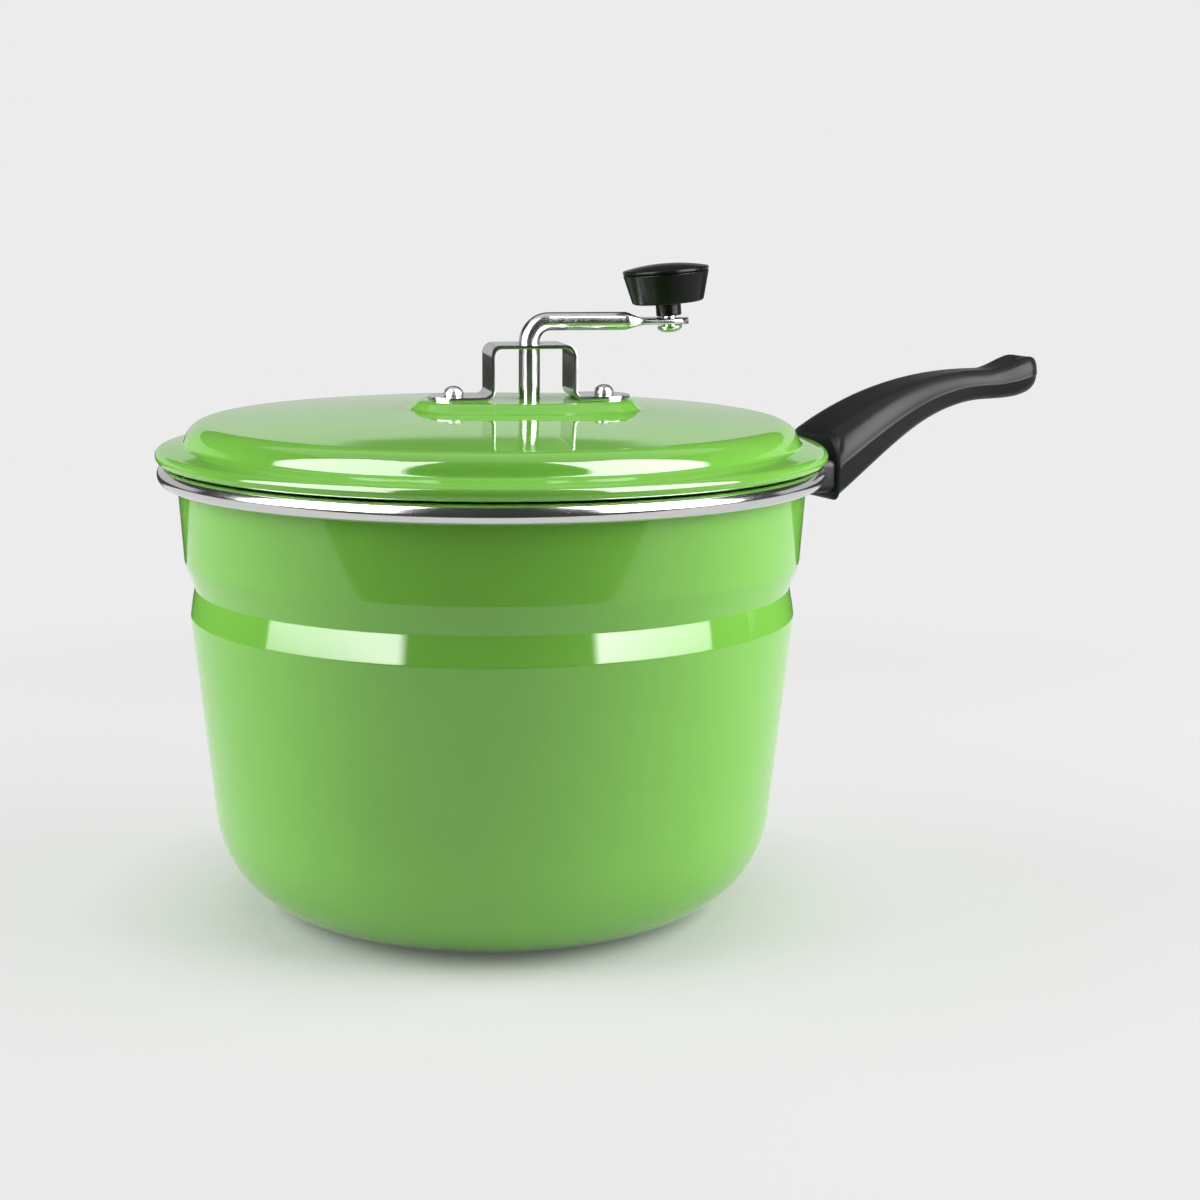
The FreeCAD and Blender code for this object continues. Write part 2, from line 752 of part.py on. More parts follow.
def hub_screw():
    head_y = hub_d / 2 + crimp_gap
    tip_y = rod_d / 2 + crimp_gap
    shank = Part.makeCylinder(hub_screw_d / 2, head_y - tip_y, point(crank_offset, hub_screw_z, -tip_y),
                              Vec(0, -1, 0))
    head = Part.makeCylinder(hub_screw_head_d / 2, hub_screw_head_h,
                             point(crank_offset, hub_screw_z, -head_y), Vec(0, -1, 0))
    return shank.fuse(head)


def handle_bracket():
    z_top = tongue_z + tongue_sheet / 2
    z_low = z_top - foot_height
    inner = [(wall_radius(z) + weld_gap, z) for z in (z_low, z_top)]
    outer = [(r + foot_sheet, z) for r, z in inner]
    plate = spin(flat_face([inner[0], outer[0], outer[1], inner[1]]), 0.0, foot_angle)
    plate = plate.rotated(origin, up, -foot_angle / 2)
    tongue = extrude_y(tongue_section(0, 0), tongue_width)
    tongue = tongue.cut(Part.makeCylinder(wall_radius(z_top) + weld_gap + foot_sheet / 2,
                                          2 * foot_height, point(0, z_low), up))
    bracket = plate.fuse(tongue)
    hole_r = handle_screw_d / 2 + socket_gap
    return bracket.cut(along_screw(hole_r, -tongue_sheet, tongue_sheet))


def tongue_section(side_gap, end_gap):
    # flat strip from the wall, bent up into the handle, or its socket with the gaps
    tilt = math.radians(tongue_tilt)
    start = wall_radius(tongue_z)
    bend_x = handle_face + tongue_bend * math.tan(tilt / 2)
    reach = tongue_reach + end_gap
    half = tongue_sheet / 2 + side_gap
    path = [
        (start, tongue_z - half, 0),
        (bend_x + half * math.tan(tilt / 2), tongue_z - half, tongue_bend),
        (bend_x + reach * math.cos(tilt) + half * math.sin(tilt),
         tongue_z + reach * math.sin(tilt) - half * math.cos(tilt), 0),
    ]
    return sheet_face(path, 2 * half)


def screw_point(distance):
    # point on the handle screw's axis, measured downwards from the tongue's middle
    tilt = math.radians(tongue_tilt)
    bend_x = handle_face + tongue_bend * math.tan(tilt / 2)
    x = bend_x + handle_screw_at * math.cos(tilt) + distance * math.sin(tilt)
    z = tongue_z + handle_screw_at * math.sin(tilt) - distance * math.cos(tilt)
    return point(x, z)


def along_screw(radius, start, end):
    direction = screw_point(end) - screw_point(start)
    return Part.makeCylinder(radius, end - start, screw_point(start), direction)


def ferrule_block(grow, start, end):
    # rounded block of the ferrule's section, grown by a margin
    width = ferrule_width + 2 * grow
    height = ferrule_height + 2 * grow
    middle = ferrule_bottom + ferrule_height / 2
    wire = oval_wire(start, width, height, middle, ferrule_round + grow)
    return Part.Face(wire).extrude(Vec(end - start, 0, 0))


def tongue_socket():
    return extrude_y(tongue_section(socket_gap, socket_end_gap), tongue_width + 2 * socket_gap)


def handle_ferrule():
    back = handle_face - ferrule_length
    cup = ferrule_block(0.0, back, handle_face)
    cup = cup.cut(ferrule_block(-ferrule_sheet, back + ferrule_sheet, handle_face + cut_past))
    return cup.cut(tongue_socket())


def blend(a, b, share):
    return a + (b - a) * share


def ease(share):
    # slow at both ends
    return 0.5 - 0.5 * math.cos(math.pi * share)


def handle_station(u):
    # half width, flat half width, bottom and top of the handle at a share of its length
    if u <= neck_at:
        t = u / neck_at
        half = blend(root_half, neck_half, ease(t))
        flat = blend(root_flat, neck_flat, t * t)
        top = blend(root_top, neck_top, 1 - (1 - t) ** top_ease)
        bottom = blend(root_bottom, neck_bottom, math.sin(math.pi / 2 * t))
        return half, flat, bottom, top
    t = ease(min((u - neck_at) / (tip_at - neck_at), 1.0))
    half = blend(neck_half, tip_half, t)
    flat = blend(neck_flat, tip_flat, t)
    top = blend(neck_top, tip_top, t)
    bottom = blend(neck_bottom, tip_bottom, t)
    if u > tip_at:
        round_off = math.sqrt(1 - ((u - tip_at) / (1 - tip_at)) ** 2)
        middle = (top + bottom) / 2
        half = half * round_off
        flat = flat * round_off
        top = blend(middle, top, round_off)
        bottom = blend(middle, bottom, round_off)
    return half, flat, bottom, top


def handle_section(u):
    half, flat, bottom, top = handle_station(u)
    x = handle_face + handle_length * u
    middle = (top + bottom) / 2
    low_half = half - side_draft * (middle - bottom)
    corner = min(lower_round, (middle - bottom) / 2, half / 3)
    sagitta = corner * (1 - math.cos(math.pi / 4))
    bow = 0.5 + side_bulge
    right = [
        Vec(x, flat, top),
        Vec(x, blend(flat, half, bow), blend(middle, top, bow)),
        Vec(x, half, middle),
        Vec(x, low_half, bottom + corner),
        Vec(x, low_half - sagitta, bottom + sagitta),
        Vec(x, low_half - corner, bottom),
    ]
    left = [Vec(p.x, -p.y, p.z) for p in right]
    edges = [
        Part.LineSegment(left[0], right[0]).toShape(),
        Part.Arc(right[0], right[1], right[2]).toShape(),
        Part.LineSegment(right[2], right[3]).toShape(),
        Part.Arc(right[3], right[4], right[5]).toShape(),
        Part.LineSegment(right[5], left[5]).toShape(),
        Part.Arc(left[5], left[4], left[3]).toShape(),
        Part.LineSegment(left[3], left[2]).toShape(),
        Part.Arc(left[2], left[1], left[0]).toShape(),
    ]
    return Part.Wire(edges)


def handle():
    shares = [neck_at * i / 6 for i in range(7)]
    shares += [blend(neck_at, tip_at, i / 3) for i in range(1, 4)]
    shares += [blend(tip_at, 1.0, math.sin(math.radians(angle))) for angle in range(20, 81, 15)]
    grip = Part.makeLoft([handle_section(u) for u in shares], True, False)
    tenon_gap = ferrule_sheet + socket_gap
    tenon = ferrule_block(-tenon_gap, handle_face - ferrule_length + tenon_gap, handle_face + cut_past)
    grip = grip.fuse(tenon)
    grip = grip.cut(tongue_socket())
    scoop_x = handle_face + handle_length * scoop_at
    grip = grip.cut(Part.makeSphere(scoop_r, point(scoop_x, tip_top + scoop_r - scoop_depth)))
    hole_x = handle_face + handle_length - hang_hole_inset
    grip = grip.cut(disc(hang_hole_d / 2, 2 * tip_height, hole_x, tip_bottom - tip_height / 2))
    grip = grip.cut(along_screw(handle_screw_head_d / 2 + socket_gap, handle_screw_seat, bore_reach))
    grip = grip.cut(along_screw(handle_screw_d / 2 + socket_gap, 0, bore_reach))
    pocket_end = tongue_sheet / 2 + socket_gap + insert_length + crimp_gap
    return grip.cut(along_screw(insert_d / 2 + crimp_gap, -pocket_end, 0))


def handle_screw():
    shank_end = tongue_sheet / 2 + socket_gap + insert_length - screw_tip_gap
    shank = along_screw(handle_screw_d / 2, -shank_end, handle_screw_seat)
    head_end = handle_screw_seat + handle_screw_head_h
    head = along_screw(handle_screw_head_d / 2, handle_screw_seat, head_end)
    return shank.fuse(head)


def handle_insert():
    start = tongue_sheet / 2 + socket_gap
    insert = along_screw(insert_d / 2, -start - insert_length, -start)
    return insert.cut(along_screw(handle_screw_d / 2 + thread_gap, insert_floor - start - insert_length, 0))


pieces = {
    "pot_shell": pot_shell(),
    "rim_band": rim_band(),
    "handle_bracket": handle_bracket(),
    "handle_ferrule": handle_ferrule(),
    "handle": handle(),
    "handle_screw": handle_screw(),
    "handle_insert": handle_insert(),
    "lid_shell": on_lid(lid_shell()),
    "crank_bracket": on_lid(crank_bracket()),
    "bracket_screws": on_lid(bracket_screws()),
    "bracket_washers": on_lid(bracket_washers()),
    "bracket_nuts": on_lid(bracket_nuts()),
    "backing_plate": on_lid(backing_plate()),
    "crank_rod": on_lid(crank_rod()),
    "thrust_washer": on_lid(thrust_washer()),
    "split_pin": on_lid(split_pin()),
    "stirrer_hub": on_lid(stirrer_hub()),
    "stirrer_wire": on_lid(stirrer_wire()),
    "breaker_wire": on_lid(breaker_wire()),
    "hub_screw": on_lid(hub_screw()),
    "knob_spindle": on_lid(knob_spindle()),
    "knob_washer": on_lid(knob_washer()),
    "knob": on_lid(knob()),
    "knob_cap": on_lid(knob_cap()),
}

os.makedirs("parts", exist_ok=True)
for name, shape in pieces.items():
    shape.exportStep("parts/" + name + ".step")
    print(name, "solids", len(shape.Solids), "valid", shape.isValid(), "volume", round(shape.Volume, 1))
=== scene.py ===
import bmesh
import bpy
import json
import math
from mathutils import Matrix, Vector


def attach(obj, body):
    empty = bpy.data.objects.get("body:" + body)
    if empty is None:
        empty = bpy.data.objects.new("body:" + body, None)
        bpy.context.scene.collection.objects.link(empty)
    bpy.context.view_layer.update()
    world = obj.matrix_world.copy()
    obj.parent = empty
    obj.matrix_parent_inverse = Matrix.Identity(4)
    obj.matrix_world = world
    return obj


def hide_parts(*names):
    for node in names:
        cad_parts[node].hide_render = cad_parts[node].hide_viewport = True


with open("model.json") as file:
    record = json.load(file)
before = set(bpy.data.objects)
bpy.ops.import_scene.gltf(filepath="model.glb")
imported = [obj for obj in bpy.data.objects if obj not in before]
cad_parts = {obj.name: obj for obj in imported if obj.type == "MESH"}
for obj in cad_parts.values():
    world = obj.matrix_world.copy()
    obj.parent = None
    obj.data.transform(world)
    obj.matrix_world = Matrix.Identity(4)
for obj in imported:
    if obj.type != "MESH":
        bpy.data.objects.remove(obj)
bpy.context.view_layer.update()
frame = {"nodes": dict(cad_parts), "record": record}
mm = 0.001
print("frame loaded,", len(frame["nodes"]), "nodes")

layout = {
    "lidTurn": -15.0,      # the loose lid sits turned from the handle
    "crankOffset": 12.8,   # crank axis from the pot's axis
    "knobX": 63.3,
    "knobLean": 5.0,
    "armZ": 207.65,
    "eyeTop": 208.9,
}

meshing = {
    "merge": 2e-6, "sliver": 1e-6, "sharp": 38.0,       # metres, metres, degrees
    "longRun": 3.0, "runStep": 5.0, "support": 0.5,     # points along straight runs, in mm
    "straight": 89.8,                                   # a corner this flat stays a corner
    "holeSides": 40, "wideSides": 256, "knobSides": 128, "screwSides": 48,
}


def onLid():
    return Matrix.Rotation(math.radians(layout["lidTurn"]), 4, "Z")


def onKnob():
    # the knob and its rivet lean about the top of the rod's eye
    hinge = Matrix.Translation(Vector((layout["knobX"], 0, layout["eyeTop"])) * mm)
    return onLid() @ hinge @ Matrix.Rotation(math.radians(-layout["knobLean"]), 4, "Y")


def addNode(tree, kind, inputs=None, **settings):
    made = tree.nodes.new(kind)
    for key, value in settings.items():
        setattr(made, key, value)
    for key, value in (inputs or {}).items():
        if isinstance(value, bpy.types.NodeSocket):
            tree.links.new(value, made.inputs[key])
        else:
            made.inputs[key].default_value = value
    return made


def maths(tree, operation, first, second=0.0):
    return addNode(tree, "ShaderNodeMath", {0: first, 1: second}, operation=operation).outputs[0]


def times(tree, first, second):
    return maths(tree, "MULTIPLY", first, second)


def squareSum(tree, first, second):
    return maths(tree, "ADD", *[times(tree, side, side) for side in (first, second)])


def addObject(name, data):
    made = bpy.data.objects.new(name, data)
    bpy.context.scene.collection.objects.link(made)
    return made


def pieceFrom(work, name, material=None):
    # the built faces become an object
    mesh = bpy.data.meshes.new(name)
    work.to_mesh(mesh)
    work.free()
    if material:
        mesh.materials.append(material)
    return addObject(name, mesh)


def bakePiece(piece):
    # the evaluated shape becomes a plain mesh
    graph = bpy.context.evaluated_depsgraph_get()
    graph.update()
    mesh = bpy.data.meshes.new_from_object(piece.evaluated_get(graph), depsgraph=graph)
    mesh.name = piece.name
    piece.modifiers.clear()
    piece.data = mesh


def tidyMesh(piece, sharpAngle=meshing["sharp"], outward=True):
    work = bmesh.new()
    work.from_mesh(piece.data)
    bmesh.ops.remove_doubles(work, verts=work.verts, dist=meshing["merge"])
    bmesh.ops.dissolve_degenerate(work, edges=work.edges, dist=meshing["sliver"])
    if outward:
        bmesh.ops.recalc_face_normals(work, faces=work.faces)
    for face in work.faces:
        face.smooth = True
    for edge in work.edges:
        if len(edge.link_faces) == 2:
            edge.smooth = edge.calc_face_angle(0) < math.radians(sharpAngle)
    work.to_mesh(piece.data)
    work.free()
    return piece


def modify(piece, kind, **settings):
    modifier = piece.modifiers.new(kind.lower(), kind)
    for key, value in settings.items():
        setattr(modifier, key, value)


def cutHole(piece, radius, x, low, high):
    # upright round hole at that x, in metres
    start = Vector((x, 0, low))
    end = Vector((x, 0, high))
    work = bmesh.new()
    turn = (end - start).to_track_quat("Z", "Y").to_matrix().to_4x4()
    place = Matrix.Translation((start + end) / 2) @ turn
    bmesh.ops.create_cone(work, cap_ends=True, segments=meshing["holeSides"], radius1=radius, radius2=radius,
                          depth=(end - start).length, matrix=place)
    drill = pieceFrom(work, "drill")
    modify(piece, "BOOLEAN", operation="DIFFERENCE", object=drill, solver="EXACT")
    bakePiece(piece)
    bpy.data.objects.remove(drill)


def roundedPath(points, step):
    # corners (x, z, radius) joined by tangent arcs, with support points beside each arc
    path = [Vector(points[0][:2])]
    for i in range(1, len(points) - 1):
        corner = Vector(points[i][:2])
        back = (Vector(points[i - 1][:2]) - corner).normalized()
        ahead = (Vector(points[i + 1][:2]) - corner).normalized()
        radius = points[i][2]
        half = back.angle(ahead) / 2
        if radius <= 0 or half > math.radians(meshing["straight"]):
            path.append(corner)
            continue
        start = corner + back * (radius / math.tan(half))
        centre = corner + (back + ahead).normalized() * (radius / math.sin(half))
        sweep = math.pi - 2 * half
        side = 1 if back.x * ahead.y - back.y * ahead.x < 0 else -1
        count = max(3, math.ceil(math.degrees(sweep) / step))
        for k in range(count + 1):
            turn = Matrix.Rotation(side * sweep * k / count, 2)
            path.append(centre + turn @ (start - centre))
    path.append(Vector(points[-1][:2]))
    filled = [path[0]]
    for point in path[1:]:
        run = (point - filled[-1]).length
        if run > meshing["longRun"]:
            before = filled[-1]
            inner = max(2, math.ceil(run / meshing["runStep"]))
            edge = meshing["support"] / run
            shares = [edge] + [j / inner for j in range(1, inner)] + [1 - edge]
            filled += [before.lerp(point, share) for share in shares]
        if run > 1e-4:
            filled.append(point)
    return filled


finishes = {   # grain: noise scale, depth in metres and stretch along the drawing or brushing
    "enamel": {"colour": (0.195, 0.515, 0.068), "deep": (0.180, 0.480, 0.060), "speck": (0.10, 0.26, 0.04),
               "rough": 0.055, "uneven": (-0.01, 0.02)},
    "trim": {"colour": (0.72, 0.72, 0.715), "rough": 0.13, "depth": 0.0000015},
    "strip": {"colour": (0.60, 0.60, 0.595), "rough": 0.14, "grain": (900.0, 0.000004, (0.05, 1.0, 1.0))},
    "chrome": {"colour": (0.64, 0.64, 0.64), "rough": 0.17, "grain": (500.0, 0.0000015, (1.0, 1.0, 0.15))},
    "wire": {"colour": (0.60, 0.60, 0.59), "rough": 0.26, "grain": (900.0, 0.000003, (0.2, 1.0, 1.0))},
    "screw": {"colour": (0.68, 0.68, 0.67), "rough": 0.24, "grain": (700.0, 0.000002, (1.0, 1.0, 0.6))},
    # the cup's near-black colour is painted shade: its steel is darkened as if shadowed under the pot's rim
    "cup": {"colour": (0.03, 0.03, 0.03), "rough": 0.36, "grain": (700.0, 0.000002, (1.0, 1.0, 0.3))},
    "brass": {"colour": (0.60, 0.43, 0.15), "rough": 0.25, "grain": (800.0, 0.000003, (1.0, 1.0, 1.0))},
    "grip": {"colour": (0.0060, 0.0064, 0.0066), "rough": 0.35, "specular": 0.13},
    "knob": {"colour": (0.0045, 0.0047, 0.0048), "rough": 0.24, "specular": 0.12},
}

textures = {   # scale, detail and roughness of each noise; metal lines take their scale from the finish
    "enamelCloud": (14.0, 3.0), "enamelSpecks": (900.0, 1.0), "metalLines": (3.0, 0.6),
    "metalPatches": (60.0, 3.0), "trimLines": (2600.0, 3.0, 0.6), "trimPatches": (40.0, 3.0),
    "mouldCloud": (45.0, 3.0), "mouldSpecks": (2200.0, 2.0), "mouldPits": (700.0, 2.0),
}
enamelRelief = {   # scale, detail, depth in metres
    "waves": (22.0, 1.0, 0.00005), "peel": (420.0, 2.0, 0.000006), "grain": (1600.0, 1.0, 0.0000012),
}
mouldRelief = {"pits": 0.000025, "specks": 0.000008}
specks = {"from": 0.74, "full": 0.80, "strength": 0.25}
patchGloss = (0.85, 1.2)
trimDrawn = 0.006   # metres per radian: long in the direction of polishing

glassIndex = 1.6   # enamel and phenolic alike


def emptyMaterial(name):
    material = bpy.data.materials.new(name)
    material.use_nodes = True
    material.node_tree.nodes.clear()
    return material, material.node_tree


def startMaterial(name):
    material, tree = emptyMaterial(name)
    shader = addNode(tree, "ShaderNodeBsdfPrincipled")
    addNode(tree, "ShaderNodeOutputMaterial", {"Surface": shader.outputs["BSDF"]})
    coords = addNode(tree, "ShaderNodeTexCoord").outputs["Object"]
    return material, tree, shader, coords


def noise(tree, coords, scale, detail=2.0, rough=0.5, stretch=None):
    if stretch:
        coords = addNode(tree, "ShaderNodeMapping", {"Vector": coords, "Scale": stretch}).outputs[0]
    made = addNode(tree, "ShaderNodeTexNoise",
                   {"Vector": coords, "Scale": scale, "Detail": detail, "Roughness": rough})
    return made.outputs["Fac"]


def spread(tree, factor, low, high):
    # maps the middle of a noise onto a range
    made = addNode(tree, "ShaderNodeMapRange", {"Value": factor, "From Min": 0.3, "From Max": 0.7,
                                                "To Min": low, "To Max": high})
    return made.outputs[0]


def mixColours(tree, factor, first, second):
    mix = addNode(tree, "ShaderNodeMix", data_type="RGBA")
    for socket, value in ((mix.inputs[0], factor), (mix.inputs[6], first), (mix.inputs[7], second)):
        if isinstance(value, bpy.types.NodeSocket):
            tree.links.new(value, socket)
        elif isinstance(value, tuple):
            socket.default_value = value + (1.0,)
        else:
            socket.default_value = value
    return mix.outputs[2]


def bump(tree, height, distance, below=None):
    made = addNode(tree, "ShaderNodeBump", {"Height": height, "Distance": distance, "Strength": 1.0})
    if below:
        tree.links.new(below, made.inputs["Normal"])
    return made.outputs["Normal"]


def enamelMaterial():
    # vitreous enamel: nearly even glass with a faint orange peel and slow waves of the pressed sheet
    values = finishes["enamel"]
    material, tree, shader, coords = startMaterial("appleEnamel")
    cloud = noise(tree, coords, *textures["enamelCloud"])
    dots = noise(tree, coords, *textures["enamelSpecks"])
    colour = mixColours(tree, spread(tree, cloud, 0.0, 1.0), values["colour"], values["deep"])
    few = addNode(tree, "ShaderNodeMapRange",
                  {"Value": dots, "From Min": specks["from"], "From Max": specks["full"],
                   "To Max": specks["strength"]}).outputs[0]
    tree.links.new(mixColours(tree, few, colour, values["speck"]), shader.inputs["Base Color"])
    gloss = spread(tree, cloud, *[values["rough"] + change for change in values["uneven"]])
    tree.links.new(gloss, shader.inputs["Roughness"])
    shader.inputs["IOR"].default_value = glassIndex
    normal = None
    for scale, detail, depth in enamelRelief.values():
        normal = bump(tree, noise(tree, coords, scale, detail), depth, normal)
    tree.links.new(normal, shader.inputs["Normal"])
    return material


def finishMetal(tree, shader, values, lines, patches, grainDepth, dulled, shine):
    # the grain dulls the colour and changes the gloss a little, the patches make the gloss uneven
    bright = values["colour"]
    dull = tuple(channel * dulled for channel in bright)
    tint = mixColours(tree, spread(tree, lines, 0.0, 1.0), bright, dull)
    tree.links.new(tint, shader.inputs["Base Color"])
    uneven = times(tree, spread(tree, lines, *shine), spread(tree, patches, *patchGloss))
    tree.links.new(times(tree, uneven, values["rough"]), shader.inputs["Roughness"])
    shader.inputs["Metallic"].default_value = 1.0
    tree.links.new(bump(tree, lines, grainDepth), shader.inputs["Normal"])


def metalMaterial(name, key, turn=0.0):
    # metal with a drawn or brushed grain along one direction
    scale, depth, stretch = finishes[key]["grain"]
    material, tree, shader, coords = startMaterial(name)
    if turn:
        back = (0, 0, math.radians(-turn))
        coords = addNode(tree, "ShaderNodeMapping", {"Vector": coords, "Rotation": back}).outputs[0]
    lines = noise(tree, coords, scale, *textures["metalLines"], stretch)
    patches = noise(tree, coords, *textures["metalPatches"])
    finishMetal(tree, shader, finishes[key], lines, patches, depth, dulled=0.86, shine=(0.8, 1.25))
    return material


def trimMaterial():
    # polished ring: fine marks that run round it
    material, tree, shader, coords = startMaterial("polishedTrim")
    axes = addNode(tree, "ShaderNodeSeparateXYZ", {0: coords}).outputs
    angle = maths(tree, "ARCTAN2", axes[1], axes[0])
    radius = maths(tree, "SQRT", squareSum(tree, axes[0], axes[1]))
    drawn = times(tree, angle, trimDrawn)
    wrapped = addNode(tree, "ShaderNodeCombineXYZ", {0: drawn, 1: radius, 2: axes[2]})
    lines = noise(tree, wrapped.outputs[0], *textures["trimLines"])
    patches = noise(tree, coords, *textures["trimPatches"])
    depth = finishes["trim"]["depth"]
    finishMetal(tree, shader, finishes["trim"], lines, patches, depth, dulled=0.9, shine=(0.85, 1.2))
    return material


def bakeliteMaterial(name, key):
    # phenolic moulding: near black, satin, with a fine cast texture
    values = finishes[key]
    material, tree, shader, coords = startMaterial(name)
    cloud = noise(tree, coords, *textures["mouldCloud"])
    dots = noise(tree, coords, *textures["mouldSpecks"])
    lighter = tuple(channel * 1.9 for channel in values["colour"])
    tree.links.new(mixColours(tree, spread(tree, dots, 0.0, 1.0), values["colour"], lighter),
                   shader.inputs["Base Color"])
    shine = times(tree, spread(tree, cloud, 0.92, 1.1), spread(tree, dots, 0.85, 1.15))
    tree.links.new(times(tree, shine, values["rough"]), shader.inputs["Roughness"])
    shader.inputs["IOR"].default_value = glassIndex
    shader.inputs["Specular IOR Level"].default_value = values["specular"]
    pits = bump(tree, noise(tree, coords, *textures["mouldPits"]), mouldRelief["pits"])
    tree.links.new(bump(tree, dots, mouldRelief["specks"], pits), shader.inputs["Normal"])
    return material


enamel = enamelMaterial()
trimSteel = trimMaterial()
# painted shade: the steel cup gets a near-black colour that stands in for the shadow under the rim
shadeDarkCupSteel = metalMaterial("shadeDarkenedCup", "cup")
stripSteel = metalMaterial("brushedStrip", "strip", layout["lidTurn"])
rodChrome = metalMaterial("brightRod", "chrome")
wireSteel = metalMaterial("drawnWire", "wire", layout["lidTurn"])
screwSteel = metalMaterial("brightScrews", "screw")
turnedBrass = metalMaterial("turnedBrass", "brass")
bakelite = bakeliteMaterial("satinBakelite", "grip")
knobBakelite = bakeliteMaterial("glossyBakelite", "knob")

slotFinish = {
    "enamel": enamel, "trim_steel": trimSteel, "strip_steel": stripSteel, "bar_chrome": rodChrome,
    "wire_steel": wireSteel, "screw_steel": screwSteel, "insert_brass": turnedBrass, "bakelite": bakelite,
}
for part in frame["record"]["subparts"]:
    for place in frame["nodes"][part["node"]].material_slots:
        place.material = slotFinish[part["material_slot"]]
print("finishes made:", len(slotFinish))


ringForms = ("shift", "stretch", "drape")   # what a profile point may say about its ring
ovalEnd = 1.7   # how soon a ring's stretch is full on either side


def latheTree():
    # turns a profile round Z; a ring may be drawn out to an oval, moved and draped over a shallow crown
    tree = bpy.data.node_groups.new("lathe", "GeometryNodeTree")
    for name, kind in (("Profile", "Geometry"), ("Segments", "Int"), ("Turn", "Float"), ("Fall", "Float"),
                       ("Material", "Material")):
        tree.interface.new_socket(name, in_out="INPUT", socket_type="NodeSocket" + kind)
    tree.interface.new_socket("Turned", in_out="OUTPUT", socket_type="NodeSocketGeometry")
    given = addNode(tree, "NodeGroupInput").outputs
    count = addNode(tree, "GeometryNodeAttributeDomainSize", {0: given["Profile"]}).outputs["Point Count"]
    ringSize = maths(tree, "ADD", given["Segments"], 1.0)
    sizes = {"Vertices X": count, "Vertices Y": ringSize}
    grid = addNode(tree, "GeometryNodeMeshGrid", sizes).outputs["Mesh"]
    index = maths(tree, "ADD", addNode(tree, "GeometryNodeInputIndex").outputs[0], 0.5)
    row = maths(tree, "FLOOR", maths(tree, "DIVIDE", index, ringSize))
    column = maths(tree, "FLOOR", maths(tree, "SUBTRACT", index, times(tree, row, ringSize)))
    angle = times(tree, maths(tree, "DIVIDE", column, given["Segments"]), 2 * math.pi)

    def fromRow(value, kind="FLOAT"):
        sample = addNode(tree, "GeometryNodeSampleIndex", data_type=kind, clamp=True)
        for name, source in (("Geometry", given["Profile"]), ("Value", value), ("Index", row)):
            tree.links.new(source, sample.inputs[name])
        return sample.outputs["Value"]

    def form(name):
        read = addNode(tree, "GeometryNodeInputNamedAttribute", {"Name": name}, data_type="FLOAT")
        return fromRow(read.outputs["Attribute"])

    position = addNode(tree, "GeometryNodeInputPosition").outputs[0]
    axes = addNode(tree, "ShaderNodeSeparateXYZ", {0: fromRow(position, "FLOAT_VECTOR")}).outputs
    shift, stretch, drape = [form(name) for name in ringForms]
    cosine = maths(tree, "COSINE", angle)
    sine = maths(tree, "SINE", angle)
    side = maths(tree, "MINIMUM", times(tree, cosine, ovalEnd), 1.0)
    side = maths(tree, "MAXIMUM", side, -1.0)
    drawn = times(tree, stretch, side)
    along = maths(tree, "ADD", times(tree, axes[0], cosine), drawn)
    along = maths(tree, "ADD", along, shift)
    across = times(tree, axes[0], sine)
    square = squareSum(tree, along, across)
    fallen = times(tree, times(tree, square, drape), given["Fall"])
    height = maths(tree, "SUBTRACT", axes[2], fallen)
    joined = addNode(tree, "ShaderNodeCombineXYZ", {0: along, 1: across, 2: height})
    spun = addNode(tree, "ShaderNodeVectorRotate", {"Vector": joined.outputs[0], "Angle": given["Turn"]},
                   rotation_type="Z_AXIS")
    shape = addNode(tree, "GeometryNodeSetPosition", {"Geometry": grid, "Position": spun.outputs[0]})
    merged = addNode(tree, "GeometryNodeMergeByDistance",
                     {"Geometry": shape.outputs[0], "Distance": meshing["merge"]})
    smooth = addNode(tree, "GeometryNodeSetShadeSmooth", {"Geometry": merged.outputs[0]})
    real = addNode(tree, "GeometryNodeRealizeInstances", {"Geometry": smooth.outputs[0]})
    dressed = addNode(tree, "GeometryNodeSetMaterial",
                      {"Geometry": real.outputs[0], "Material": given["Material"]})
    addNode(tree, "NodeGroupOutput", {0: dressed.outputs[0]})
    return tree


lathe = latheTree()


def setInputs(modifier, values):
    for item in modifier.node_group.interface.items_tree:
        if item.item_type == "SOCKET" and item.in_out == "INPUT" and item.name in values:
            modifier[item.identifier] = values[item.name]


def turned(name, profile, material, segments, flip=False, forms=None, fall=0.0, place=None):
    # the outer side of a profile is on its left, or on its right with flip
    points = list(reversed(profile)) if flip else list(profile)
    mesh = bpy.data.meshes.new(name)
    places = [(p[0] * mm, 0.0, p[1] * mm) for p in points]
    mesh.from_pydata(places, [(i, i + 1) for i in range(len(points) - 1)], [])
    for key, unit in zip(ringForms, (mm, mm, 1.0)):
        layer = mesh.attributes.new(key, "FLOAT", "POINT")
        values = [form[key] * unit for form in forms] if forms else [0.0] * len(points)
        layer.data.foreach_set("value", values)
    piece = addObject(name, mesh)
    modifier = piece.modifiers.new("lathe", "NODES")
    modifier.node_group = lathe
    setInputs(modifier, {"Segments": segments, "Turn": math.radians(layout["lidTurn"]), "Fall": fall / mm,
                         "Material": material})
    bakePiece(piece)
    tidyMesh(piece, outward=False)
    if place:
        piece.data.transform(place)
    return piece


def mixValues(a, b, share):
    return a + (b - a) * share


def thicken(piece, sheet):
    # the wall grows inwards
    modify(piece, "SOLIDIFY", thickness=sheet * mm, offset=-1.0, use_even_offset=True,
           use_quality_normals=True)
    bakePiece(piece)
    return tidyMesh(piece)


def dress(piece, body, slot, *nodes):
    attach(piece, body)
    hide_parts(*nodes)


